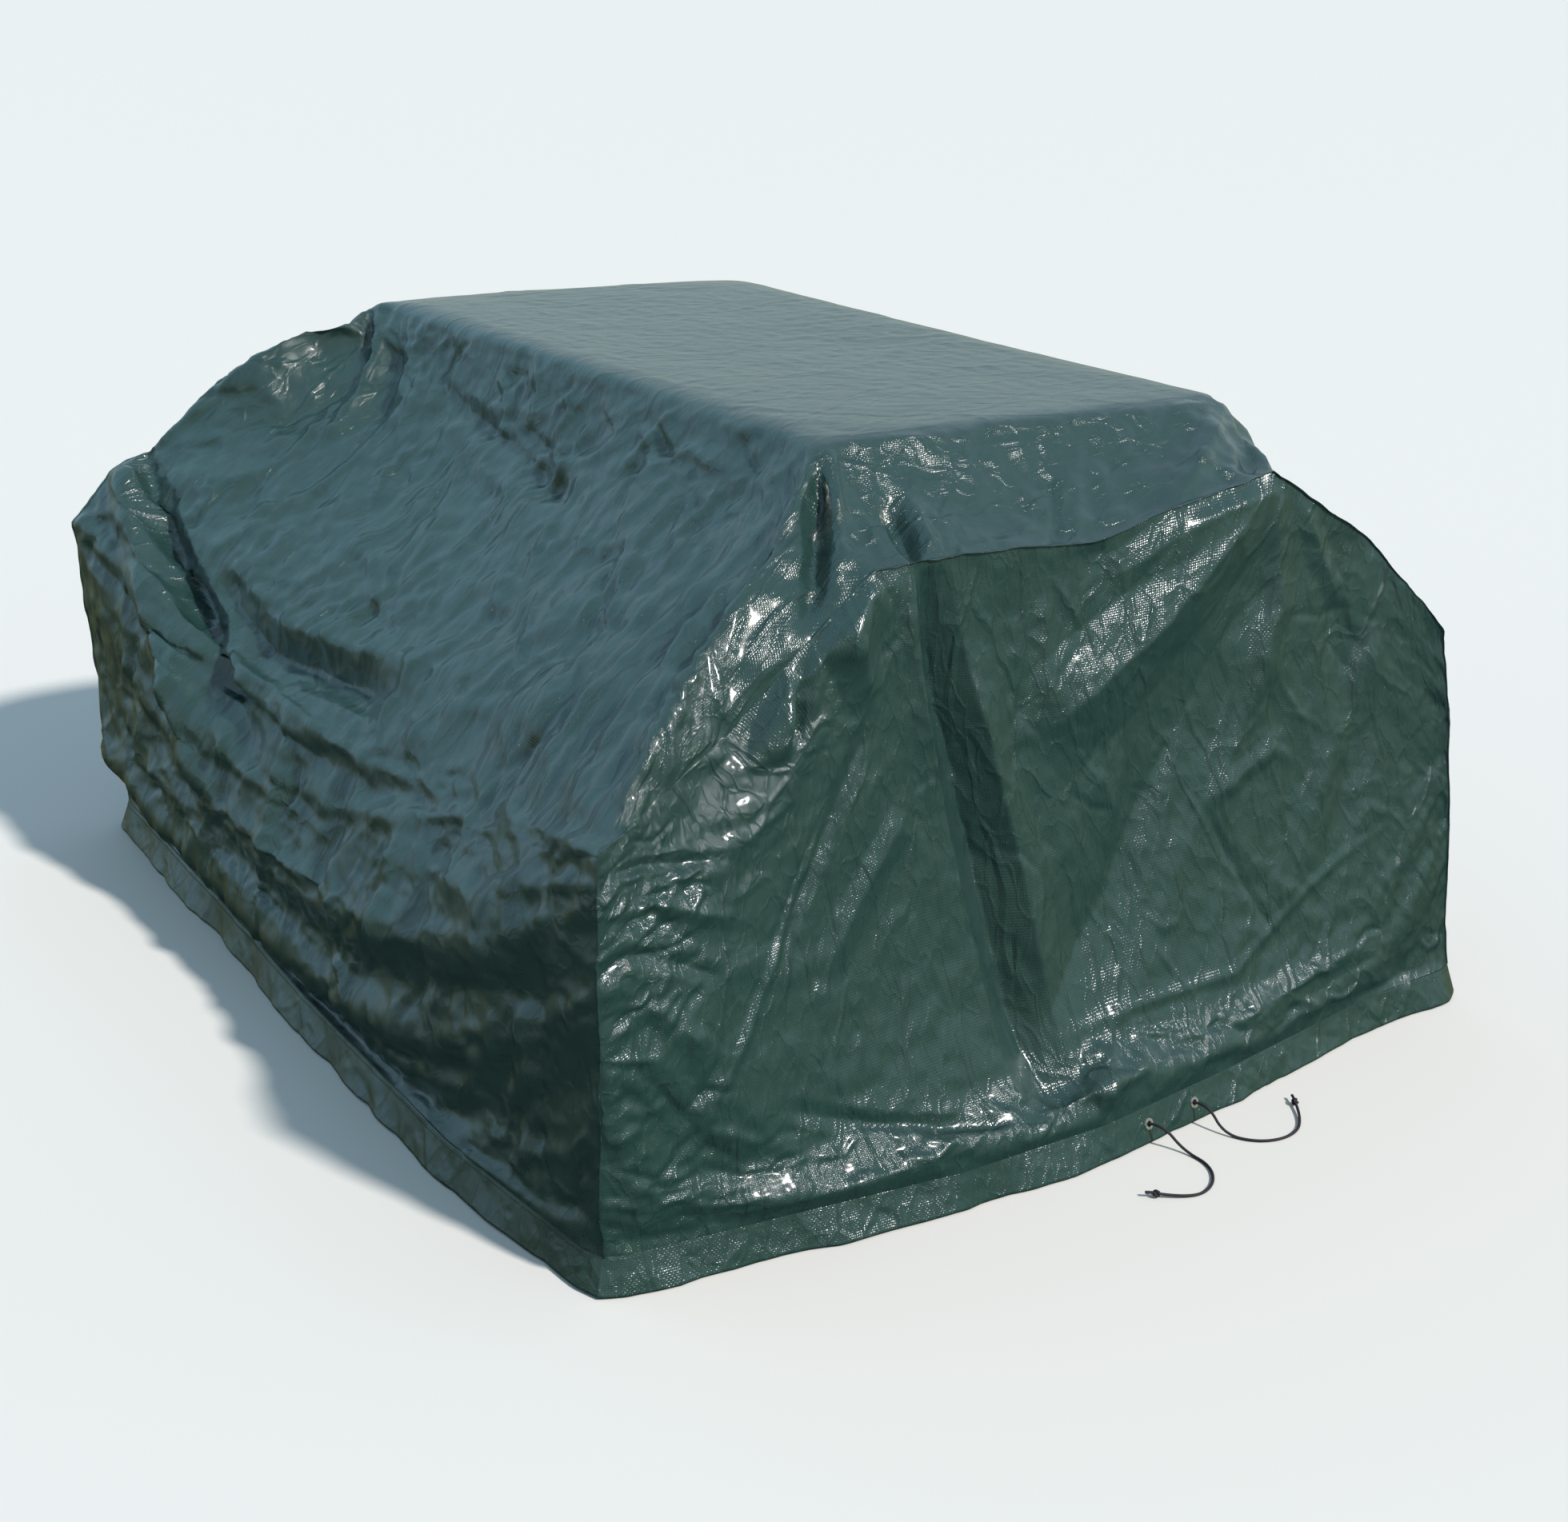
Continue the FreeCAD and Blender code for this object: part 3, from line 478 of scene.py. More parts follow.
def meet(panel, first, second, edge_places):
    """Carries a panel's rim to the edge of the wrap it is sewn to, easing off inside."""
    def ease(distance):
        x = np.clip(distance / 0.09, 0, 1)
        return (1 - x) ** 2 * (1 + 2 * x)

    top = edge_places(SKIRT + second) - panel[-1]
    panel = panel + ease(SKIRT - first)[:, None, None] * top[None]
    left = edge_places(first) - panel[:, 0]
    panel = panel + ease(second)[None, :, None] * left[:, None]
    right = edge_places(WRAP_LENGTH - first) - panel[:, -1]
    return panel + ease(TOP_WIDTH - second)[None, :, None] * right[:, None]


def add_sheet(name, grid, first, second, turn):
    """Mesh of one panel, with its own cut pattern as UV map, in metres."""
    rows, cols = grid.shape[:2]
    mesh = bpy.data.meshes.new(name)
    mesh.from_pydata((grid + SHIFT).reshape(-1, 3).tolist(), [], quads(rows, cols, turn).tolist())
    a, b = np.meshgrid(first, second, indexing="ij")
    pattern = np.stack([b.ravel(), a.ravel()], -1)
    loops = np.empty(len(mesh.loops), int)
    mesh.loops.foreach_get("vertex_index", loops)
    layer = mesh.uv_layers.new(name="pattern")
    layer.data.foreach_set("uv", pattern[loops].ravel())
    mesh.shade_smooth()
    sheet = bpy.data.objects.new(name, mesh)
    bpy.context.collection.objects.link(sheet)
    return sheet


wrap_fine = refine(wrap_grid, fine_s, fine_t, coarse_s, coarse_t)
S, T = np.meshgrid(fine_s, fine_t, indexing="ij")
outward = grid_directions(wrap_fine)
# the raised top's edges, as distances over the wrap; the sheet lies nearly flat between them
TOP_LEFT, TOP_RIGHT, TOP_FRONT, TOP_BACK = 1.28, 2.03, 0.20, 1.65
inside_top = np.minimum(np.minimum(S - (TOP_LEFT - 0.01), TOP_RIGHT - S),
                        np.minimum(T - TOP_FRONT, TOP_BACK - T))
quiet = 1 - 0.90 * np.clip(inside_top / 0.02, 0, 1)
skirt = np.clip((0.62 - S) / 0.10, 0, 1)
slope = np.clip((1.30 - S) / 0.08, 0, 1) * np.clip((S - 0.55) / 0.08, 0, 1)
crumple = (0.0060 * facets(T, S, 0.115, 11, 0.4, 1.5) + 0.0048 * facets(T, S, 0.055, 12, -0.5, 1.4)
           + 0.0026 * facets(T, S, 0.028, 13, 0.2, 1.3) + 0.0012 * facets(T, S, 0.016, 14, 1.0, 1.2)) * quiet
crumple += slope * (0.0052 * facets(T, S, 0.070, 15, 0.9, 2.2) + 0.0032 * facets(T, S, 0.030, 16, 0.7, 2.0))
crumple += skirt * 0.0030 * facets(S, T, 0.060, 17, 0.1, 2.6)

# Folds of the wrap: (path of (s, t), width, height, power). They start from the corners of
# the raised top or hang from its edges.
WRAP_FOLDS = [
    # pleats below the top's front corners
    ([(TOP_LEFT, TOP_FRONT), (TOP_LEFT - .08, 0)], .030, -.030, 1.4),
    ([(TOP_LEFT + .02, TOP_FRONT), (TOP_LEFT - .03, .02)], .022, .014, 1.0),
    ([(TOP_RIGHT - .02, TOP_FRONT), (TOP_RIGHT - .14, 0)], .035, .014, 1.0),
    ([(TOP_RIGHT + .03, TOP_FRONT), (TOP_RIGHT - .03, 0)], .030, -.012, 1.0),
    # stiff creases across the left slope
    ([(1.05, .53), (.85, .41)], .014, .009, 1.0),
    ([(1.03, .57), (.84, .45)], .016, -.006, 1.0),
    ([(.95, .68), (.80, .55)], .014, .008, 1.0),
    # slack along the middle of the left slope
    ([(1.14, 1.25), (1.10, 1.00), (1.05, .75)], .040, -.020, 1.2),
    ([(1.15, 1.05), (1.12, .90)], .018, -.012, 1.0),
    ([(1.06, 1.10), (1.04, .93)], .016, .009, 1.0),
    # far left: a standing pillar and the deep tuck beside it
    ([(.76, DEPTH), (.60, 1.60), (.40, 1.33), (.28, 1.25)], .070, .038, 1.0),
    ([(.78, DEPTH), (.66, 1.62), (.58, 1.37), (.44, 1.14)], .045, -.052, 1.1),
    # the surround's edge under the sheet, and the hollow below it
    ([(.73, 1.50), (.67, 1.20), (.72, 1.00), (.81, .65)], .050, .016, 1.0),
    ([(.66, 1.45), (.62, 1.20), (.68, .92), (.73, .78)], .060, -.026, 1.0),
    # flat facet below the top's back left corner
    ([(TOP_LEFT, TOP_BACK), (.94, 1.50)], .030, .016, 1.0),
    ([(TOP_LEFT - .04, TOP_BACK - .09), (.94, 1.42)], .040, -.014, 1.0),
]
# short creases of the band over the front edge
for place, width, height in ((1.38, .028, -.024), (1.42, .030, .012),
                             (1.69, .014, -.006), (1.73, .020, .005)):
    WRAP_FOLDS.append(([(place, .12), (place + .01, 0)], width, height, 1.1))
# tension folds fanning down the left slope from the top's front corner, up and down in turn
for number in range(5):
    high = (TOP_LEFT - .09 - .03 * number, TOP_FRONT - .04 + .045 * number)
    WRAP_FOLDS.append(([high, (.70, .12 + .075 * number)], .027, -.0095 * (-1) ** number, 1.0))
# hanging folds of the left skirt, then of the right slope and the right skirt
for number, place in enumerate((.15, .25, .45, .57, .80, 1.00)):
    WRAP_FOLDS.append(([(.58, place + .04), (.22, place)], .040, -.012 * (-1) ** number, 1.0))
for number, place in enumerate((.20, .67, 1.25)):
    WRAP_FOLDS.append(([(2.11, place), (2.55, place - .05)], .040, .012 * (-1) ** number, 1.0))
    WRAP_FOLDS.append(([(2.61, place + .15), (3.10, place + .13)], .046, .013 * (-1) ** number, 1.0))
crumple += strewn(S, T, 150, (0.66, 0.02, 1.24, 1.80), 0.075, 0.015, 0.0050, 101)
crumple += strewn(S, T, 60, (0.66, 0.35, 1.22, 1.60), 0.110, 0.016, 0.0055, 102, 0.0, 0.5)
crumple += strewn(S, T, 110, (0.06, 0.02, 0.62, 1.80), 0.090, 0.016, 0.0055, 103, 0.0, 0.6)
crumple += strewn(S, T, 50, (0.00, 0.02, 0.14, 1.80), 0.060, 0.013, 0.0050, 104)
crumple += strewn(S, T, 90, (2.08, 0.02, 3.20, 1.80), 0.100, 0.018, 0.0050, 105)
crumple += strewn(S, T, 26, (1.22, 0.00, 2.05, 0.19), 0.060, 0.014, 0.0030, 106, 1.57, 0.7)
for path, width, height, power in WRAP_FOLDS:
    crumple = crumple + fold(S, T, path, width, height, power)
wrap_fine = wrap_fine + outward * (crumple * rim_fade(fine_s, fine_t, 0.025, 0.45))[..., None]


def wrap_edge(column):
    """Places along one column of the finished wrap, for any distance s; 0 and -1 are its edges."""
    def places(s):
        return np.stack([np.interp(s, fine_s, wrap_fine[:, column, k]) for k in range(3)], -1)

    return places


front_fine = refine(front_grid, fine_v, fine_u, coarse_v, coarse_u)
front_fine = meet(front_fine, fine_v, fine_u, wrap_edge(0))
V_, U_ = np.meshgrid(fine_v, fine_u, indexing="ij")
outward = grid_directions(front_fine) * -1
rough = 1 + 1.2 * np.clip(1 - U_ / 0.28, 0, 1) + 0.6 * np.clip(1 - V_ / 0.16, 0, 1)
crumple = (0.0036 * facets(U_, V_, 0.130, 21, 0.9, 1.9) + 0.0018 * facets(U_, V_, 0.058, 22, -0.4, 1.6)
           + 0.0009 * facets(U_, V_, 0.027, 23, 0.5, 1.4)
           + 0.0005 * facets(U_, V_, 0.013, 24, 0.2, 1.3)) * rough
pucker = facets(V_, V_ * 0 + 3.1, 0.030, 25) * np.exp(-U_ / 0.070) + facets(
    V_, V_ * 0 + 5.1, 0.045, 26) * np.exp(-(TOP_WIDTH - U_) / 0.070)
crumple += 0.0045 * pucker
crumple += 0.0030 * facets(U_, U_ * 0 + 7.7, 0.055, 27) * np.exp(-(SKIRT - V_) / 0.050)

# Folds of the front panel: (path of (u, v), width, height, power)
FRONT_FOLDS = [
    # the deep valley from the top's edge down to the hem, and its two banks
    ([(.70, SKIRT), (.76, .45), (.81, .03)], .060, -.036, 1.0),
    ([(.66, SKIRT), (.70, .43)], .040, .012, 1.0),
    ([(.80, .60), (.86, .11)], .060, .012, 1.0),
    # the broad rib drawn down to the left from the top's right corner, and the hollow under it
    ([(1.35, SKIRT), (1.17, .55), (.93, .46)], .075, .026, 1.0),
    ([(1.32, SKIRT), (1.10, .64)], .035, .010, 1.0),
    ([(1.44, .62), (1.24, .43), (1.00, .25), (.78, .13)], .090, -.018, 1.0),
    # lines left from folding the sheet flat
    ([(.82, .14), (1.25, .14), (1.69, .28)], .010, .0035, 1.0),
    ([(1.24, .33), (1.38, .14)], .012, -.005, 1.0),
    ([(1.44, .39), (1.26, .33)], .016, .006, 1.0),
    # the lump below the top's left corner
    ([(.40, .60), (.50, SKIRT)], .045, .020, 1.0),
    ([(.49, SKIRT), (.44, .59)], .020, -.024, 1.3),
    ([(.53, SKIRT), (.56, .56)], .035, .016, 1.0),
    ([(.59, SKIRT), (.51, .64)], .060, .014, 1.0),
    # slack lying along the hem
    ([(.29, .17), (.75, .04)], .016, -.008, 1.0),
    ([(.93, .12), (.87, .02)], .040, .016, 1.0),
    ([(1.64, .13), (1.10, .05)], .035, .010, 1.0),
    # folds hanging at the right
    ([(1.40, SKIRT), (1.55, .58)], .025, .008, 1.0),
    ([(1.34, SKIRT), (1.43, .55), (1.38, .42)], .030, .008, 1.0),
    ([(1.50, SKIRT), (1.60, .40), (1.56, .24)], .050, -.010, 1.0),
    # loose creases of the middle
    ([(.18, .20), (.33, .33), (.47, .48)], .012, .005, 1.0),
    ([(.56, .54), (.33, .33)], .030, -.007, 1.0),
    ([(.64, .42), (.42, .28)], .030, .008, 1.0),
    ([(.97, .64), (.96, .48)], .030, .007, 1.0),
    ([(1.10, .42), (1.01, .28)], .025, .007, 1.0),
]
# creases drawn in from the left seam, up and down in turn
for number in range(5):
    high = .64 - .085 * number
    FRONT_FOLDS.append(([(.03, high), (.28 - .03 * number, high - .14)], .020, -.007 * (-1) ** number, 1.0))
crumple += strewn(U_, V_, 70, (0.02, 0.02, 1.83, 0.68), 0.070, 0.011, 0.0024, 111)
crumple += strewn(U_, V_, 40, (0.01, 0.02, 0.24, 0.66), 0.060, 0.012, 0.0045, 112, 0.2, 0.7)
crumple += strewn(U_, V_, 26, (0.02, 0.02, 1.83, 0.16), 0.070, 0.012, 0.0036, 113, 0.0, 0.5)
for path, width, height, power in FRONT_FOLDS:
    crumple = crumple + fold(U_, V_, path, width, height, power)
inside = np.clip(V_ / 0.02, 0, 1) * np.clip((SKIRT - V_) / 0.02, 0, 1) * np.clip(
    np.minimum(U_, TOP_WIDTH - U_) / 0.012, 0, 1)
front_fine = front_fine + outward * (crumple * inside)[..., None]

back_fine = refine(back_grid, back_v, back_u, coarse_v, coarse_u)
back_fine = meet(back_fine, back_v, back_u, wrap_edge(-1))
BV, BU = np.meshgrid(back_v, back_u, indexing="ij")
outward = grid_directions(back_fine)
crumple = 0.0045 * facets(BU, BV, 0.120, 31, 0.9, 1.8) + 0.0024 * facets(BU, BV, 0.055, 32, -0.4, 1.5)
crumple += 0.0040 * facets(BV, BV * 0 + 2.1, 0.040, 33) * np.exp(-np.minimum(BU, TOP_WIDTH - BU) / 0.070)
BACK_FOLDS = [
    ([(.300, .700), (.420, .450), (.430, .150)], .060, -.024, 1.0),
    ([(.980, .690), (.900, .450), (.930, .120)], .060, .020, 1.0),
    ([(1.540, .660), (1.380, .430), (1.330, .160)], .070, -.022, 1.0),
    ([(.700, .640), (.660, .380), (.700, .140)], .040, .012, 1.0),
    ([(1.200, .600), (1.150, .350), (1.160, .140)], .040, .010, 1.0),
]
crumple += strewn(BU, BV, 90, (0.02, 0.02, 1.83, 0.68), 0.080, 0.016, 0.0040, 121)
for path, width, height, power in BACK_FOLDS:
    crumple = crumple + fold(BU, BV, path, width, height, power)
inside = np.clip(BV / 0.02, 0, 1) * np.clip((SKIRT - BV) / 0.02, 0, 1) * np.clip(
    np.minimum(BU, TOP_WIDTH - BU) / 0.012, 0, 1)
back_fine = back_fine + outward * (crumple * inside)[..., None]

wrap_sheet = add_sheet("wrap_sheet", wrap_fine, fine_s, fine_t, True)
front_sheet = add_sheet("front_sheet", front_fine, fine_v, fine_u, False)
back_sheet = add_sheet("back_sheet", back_fine, back_v, back_u, True)


# Sewn seams: at each end the two panels' edges are turned out together and stitched, and
# stand as a narrow lip that runs up one corner, along the top and down the other corner.
LIP_HEIGHT, LIP_HALF = 0.0045, 0.0004


def unit(vectors):
    return vectors / np.maximum(np.linalg.norm(vectors, axis=-1, keepdims=True), 1e-9)


def add_strip(name, sections, pattern, closed):
    """Mesh of a strip: sections (stations x points), each section a closed or open line."""
    count, ring = sections.shape[:2]
    index = np.arange(count * ring).reshape(count, ring)
    if closed:
        index = np.concatenate([index, index[:, :1]], axis=1)
    a, b = index[:-1, :-1].ravel(), index[:-1, 1:].ravel()
    c, d = index[1:, 1:].ravel(), index[1:, :-1].ravel()
    faces = np.stack([a, b, c, d], -1).tolist()
    if closed:
        faces += [index[0, :-1][::-1].tolist(), index[-1, :-1].tolist()]
    mesh = bpy.data.meshes.new(name)
    mesh.from_pydata((sections + SHIFT).reshape(-1, 3).tolist(), [], faces)
    loops = np.empty(len(mesh.loops), int)
    mesh.loops.foreach_get("vertex_index", loops)
    layer = mesh.uv_layers.new(name="pattern")
    layer.data.foreach_set("uv", pattern.reshape(-1, 2)[loops].ravel())
    mesh.shade_smooth()
    strip = bpy.data.objects.new(name, mesh)
    bpy.context.collection.objects.link(strip)
    return strip


def seam_lip(name, edge, wrap_side, panel_side, seed):
    """Lip along the whole sewn edge of one end panel."""
    s = np.arange(0, WRAP_LENGTH + 1e-6, 0.008)
    base = edge(s)
    inward_wrap = unit(base - wrap_side(s))
    inward_panel = unit(base - panel_side(s))
    stand = unit(inward_wrap + 0.4 * inward_panel)
    run = unit(np.gradient(base, axis=0))
    stand = unit(stand - run * (stand * run).sum(-1, keepdims=True))
    thick = np.cross(run, stand)
    sway = 0.0012 * facets(s, s * 0, 0.05, seed) + 0.0008 * facets(s, s * 0 + 9, 0.02, seed + 1)
    lower = np.interp(s, (2.2, 2.45), (1.0, 0.45))
    tall = LIP_HEIGHT * (1 + 0.12 * facets(s, s * 0 + 4, 0.03, seed + 2)) * lower
    outline = [(-1.0, -0.25), (-1.0, 0.35), (-0.9, 0.85), (0.0, 1.0), (0.9, 0.85), (1.0, 0.35), (1.0, -0.25)]
    sections = np.stack([base + thick * (x * LIP_HALF + sway * max(y, 0) ** 1.5)[:, None]
                         + stand * (y * tall)[:, None] for x, y in outline], axis=1)
    pattern = np.stack(np.broadcast_arrays(s[:, None], np.array([p[1] * LIP_HEIGHT for p in outline])), -1)
    return add_strip(name, sections, pattern, True)


def beside(grid, first, second):
    """Places a little inside a panel, for every place along its sewn edge."""
    def places(s):
        v = np.clip(np.where(s < SKIRT, s, np.where(s > WRAP_LENGTH - SKIRT, WRAP_LENGTH - s, SKIRT - 0.02)),
                    0.02, SKIRT - 0.02)
        u = np.clip(s - SKIRT, 0.02, TOP_WIDTH - 0.02)
        rows = np.clip(np.searchsorted(first, v), 0, len(first) - 1)
        cols = np.clip(np.searchsorted(second, u), 0, len(second) - 1)
        return grid[rows, cols]

    return places


front_lip = seam_lip("front_seam_lip", wrap_edge(0), wrap_edge(3),
                     beside(front_fine, fine_v, fine_u), 41)
back_lip = seam_lip("back_seam_lip", wrap_edge(-1), wrap_edge(-4),
                    beside(back_fine, back_v, back_u), 51)


# Drawcord casing: the lower edge of the sheet folded up inside and stitched down all round,
# a flattened tube 50 mm high that the cord runs in, spread outward on the ground.
CASING_TOP, CASING_FLARE, STITCH_HEIGHT = 0.050, 0.018, 0.045
EYELETS = [np.array((0.0488, -0.9363, 0.0250)) - SHIFT, np.array((0.1449, -0.9265, 0.0250)) - SHIFT]
EYELET_AXIS = np.array((0.0955, -0.9360, 0.3387))

rims = [front_fine[0], wrap_fine[-1], back_fine[0, ::-1], wrap_fine[0, ::-1]]
loop = np.concatenate([rim[:-1, :2] for rim in rims])
ahead, behind = np.roll(loop, -6, axis=0), np.roll(loop, 6, axis=0)
way = unit(ahead - behind)
for _ in range(8):
    way = unit(np.roll(way, 1, axis=0) + 2 * way + np.roll(way, -1, axis=0))
facing = np.stack([way[:, 1], -way[:, 0]], -1)
starts = np.cumsum([0] + [len(rim) - 1 for rim in rims])


def casing_side(number):
    """Stations along one side of the casing: arc length, plan places, plan facings."""
    pick = np.arange(starts[number], starts[number + 1] + 1) % len(loop)
    places, faces = loop[pick], facing[pick]
    arc = np.concatenate([[0], np.cumsum(np.linalg.norm(np.diff(places, axis=0), axis=1))])
    stations = arc.copy()
    if number == 0:
        for eyelet in EYELETS:
            middle = arc[np.argmin(np.linalg.norm(places - eyelet[:2], axis=1))]
            stations = np.concatenate([stations, np.arange(middle - 0.014, middle + 0.014, 0.0013)])
        stations = np.unique(np.round(stations, 5))
    plan = np.stack([np.interp(stations, arc, places[:, k]) for k in (0, 1)], -1)
    out = unit(np.stack([np.interp(stations, arc, faces[:, k]) for k in (0, 1)], -1))
    return stations, plan, out


def casing_wave(number, stations, plan, height):
    """How far the outer ply stands off its plain slope, at stations x heights."""
    a, z = np.meshgrid(stations, height, indexing="ij")
    down = np.clip((CASING_TOP - z) / CASING_TOP, 0, 1)
    wave = down * (0.0060 * facets(a, z * 0.6, 0.110, 61 + number)
                   + 0.0030 * facets(a, z, 0.045, 71 + number))
    wave += 0.0012 * facets(a, z, 0.016, 81 + number, 0.0, 0.7) * np.sin(np.pi * np.clip(down * 1.1, 0, 1))
    away = np.clip(np.minimum(stations, stations[-1] - stations) / 0.04, 0, 1)
    if number == 0:
        for eyelet in EYELETS:
            away = away * np.clip((np.linalg.norm(plan - eyelet[:2], axis=1) - 0.020) / 0.05, 0, 1)
    return wave * away[:, None]


def casing(name, number):
    stations, plan, out = casing_side(number)
    outer = np.concatenate([np.arange(CASING_TOP, 0.0055, -0.0020), [0.0045]])
    rows = [(CASING_FLARE * (1 - z / CASING_TOP), z, z) for z in outer]
    rows += [(0.0160, 0.0020, 0.0045), (0.0130, 0.0009, 0.0045), (0.0085, 0.0012, 0.0045)]
    rows += [(0.0035, 0.0060, 0.006), (-0.0010, 0.0140, 0.014), (-0.0040, 0.0240, 0.024),
             (-0.0048, 0.0340, 0.034), (-0.0030, 0.0410, 0.041), (-0.0010, 0.0445, 0.0445),
             (-0.0008, 0.0530, 0.0500)]
    wave = casing_wave(number, stations, plan, np.array([row[2] for row in rows]))
    lift = 0.0030 * np.clip(facets(stations, stations * 0, 0.16, 91 + number), 0, 1)
    sections = np.empty((len(stations), len(rows), 3))
    for k, (offset, z, _) in enumerate(rows):
        sections[:, k, :2] = plan + out * (offset + wave[:, k])[:, None]
        sections[:, k, 2] = z + lift * np.clip(1 - z / 0.03, 0, 1)
    depth = np.concatenate([[0], np.cumsum(np.linalg.norm(np.diff(sections[0], axis=0), axis=1))])
    pattern = np.stack(np.broadcast_arrays(stations[:, None], -depth[None]), -1)
    strip = add_strip(name, sections, pattern, False)
    if number == 0:
        cut = bmesh.new()
        cut.from_mesh(strip.data)
        hole = []
        for face in cut.faces:
            middle = np.array(face.calc_center_median()) - SHIFT
            for eyelet in EYELETS:
                gap = middle - eyelet
                along = gap @ EYELET_AXIS
                if abs(along - 0.0066) < 0.006 and np.linalg.norm(gap - along * EYELET_AXIS) < 0.0058:
                    hole.append(face)
        bmesh.ops.delete(cut, geom=hole, context="FACES")
        cut.to_mesh(strip.data)
        cut.free()
    return strip


# Lock stitches of the casing: short thread bars, each dipping into the sheet at both ends.
def stitch_row(name, number):
    stations, plan, out = casing_side(number)
    centres = np.arange(0.012, stations[-1] - 0.012, 0.0068)
    bar = np.array([-0.0024, -0.0017, 0.0017, 0.0024])
    dip = np.array([-0.0006, 0.0002, 0.0002, -0.0006])
    wave = casing_wave(number, stations, plan, np.array([STITCH_HEIGHT]))[:, 0]
    normal_tilt = np.array((CASING_TOP, CASING_FLARE)) / math.hypot(CASING_TOP, CASING_FLARE)
    verts, faces = [], []
    for centre in centres:
        start = len(verts)
        for shift, depth in zip(bar, dip):
            a = centre + shift
            x, y = (np.interp(a, stations, plan[:, k]) for k in (0, 1))
            ox, oy = (np.interp(a, stations, out[:, k]) for k in (0, 1))
            stand = CASING_FLARE * (1 - STITCH_HEIGHT / CASING_TOP) + np.interp(a, stations, wave)
            for turn in range(6):
                angle = turn * math.pi / 3
                off = stand + normal_tilt[0] * (depth + 0.00045 * math.cos(angle))
                z = STITCH_HEIGHT + normal_tilt[1] * depth + 0.0006 * math.sin(angle)
                verts.append((x + ox * off + SHIFT[0], y + oy * off + SHIFT[1], z))
        for ring in range(3):
            for turn in range(6):
                a, b = start + ring * 6 + turn, start + ring * 6 + (turn + 1) % 6
                faces.append((a, b, b + 6, a + 6))
        faces.append(tuple(start + k for k in range(5, -1, -1)))
        faces.append(tuple(start + 18 + k for k in range(6)))
    mesh = bpy.data.meshes.new(name)
    mesh.from_pydata(verts, [], faces)
    mesh.shade_smooth()
    row = bpy.data.objects.new(name, mesh)
    bpy.context.collection.objects.link(row)
    return row


SIDES = ("front", "right", "back", "left")
casings = [casing(side + "_casing", number) for number, side in enumerate(SIDES)]
stitches = [stitch_row(side + "_casing_thread", number) for number, side in enumerate(SIDES)]

# Loose cord ends: each leaves the casing through its eyelet, drops to the ground and ends in a
# small overhand knot.
CORD_DIA = 0.004
TAIL_POINTS = {
    "left": [(.0504, -.9437, .0277), (.0527, -.9661, .0358), (.0727, -.9901, .0020), (.0767, -1.0381, .0020),
             (.0447, -1.0761, .0020), (-.0013, -1.0841, .0020), (-.0353, -1.0581, .00575)],
    "right": [(.1449, -.9340, .0277), (.1472, -.9565, .0358), (.1512, -.9885, .0020), (.1772, -1.0285, .0020),
              (.2242, -1.0425, .0020), (.2702, -1.0245, .0020), (.2962, -.9865, .00575)],
}


def cord_curve(name, points, diameter):
    data = bpy.data.curves.new(name, "CURVE")
    data.dimensions = "3D"
    data.bevel_depth = diameter / 2
    data.bevel_resolution = 4
    data.resolution_u = 16
    data.use_fill_caps = True
    spline = data.splines.new("NURBS")
    spline.points.add(len(points) - 1)
    for point, place in zip(spline.points, points):
        point.co = (*place, 1.0)
    spline.order_u = 3
    spline.use_endpoint_u = True
    cord = bpy.data.objects.new(name, data)
    bpy.context.collection.objects.link(cord)
    return cord


def end_knot(name, points):
    """Tight overhand knot with its short tag, on the line of the cord's last run."""
    last, before = Vector(points[-1]), Vector(points[-2])
    along = (last - before).normalized()
    turn = along.to_track_quat("Z", "X").to_matrix()
    parts = []
    path = []
    for step in range(49):
        t = 2 * math.pi * step / 48
        spread = 0.0021 + 0.00125 * math.cos(3 * t)
        path.append(Vector((spread * math.cos(2 * t), spread * math.sin(2 * t),
                            0.0062 + 0.0030 * math.sin(3 * t))))
    parts.append(cord_curve(name, [last + turn @ p for p in path], 0.0040))
    tag = [Vector((0, 0, -0.0005)), Vector((0.0004, 0, 0.006)), Vector((0.0010, -0.0006, 0.0145)),
           Vector((0.0004, -0.0012, 0.0215))]
    parts.append(cord_curve(name + "_tag", [last + turn @ p for p in tag], CORD_DIA * 0.98))
    bpy.ops.object.select_all(action="DESELECT")
    for part in parts:
        part.select_set(True)
    bpy.context.view_layer.objects.active = parts[0]
    bpy.ops.object.convert(target="MESH")
    bpy.ops.object.join()
    knot = bpy.context.object
    bpy.ops.object.shade_smooth()
    return knot


cords = {side: cord_curve("cord_" + side, points, CORD_DIA) for side, points in TAIL_POINTS.items()}
knots = {side: end_knot("knot_" + side, points) for side, points in TAIL_POINTS.items()}

# Coated sheet: flat tapes woven one over one, with a clear glossy skin. The weave, the drawn
# streaks of the tapes and the finest crinkles are relief in the skin.
TAPE = 0.0028
sheet_green = bpy.data.materials.new("woven_green_sheet")
sheet_green.use_nodes = True
nodes, links = sheet_green.node_tree.nodes, sheet_green.node_tree.links
shader = nodes["Principled BSDF"]


def maths(operation, *inputs, clamp=False):
    node = nodes.new("ShaderNodeMath")
    node.operation = operation
    node.use_clamp = clamp
    for slot, value in zip(node.inputs, inputs):
        if isinstance(value, (int, float)):
            slot.default_value = value
        else:
            links.new(value, slot)
    return node.outputs[0]


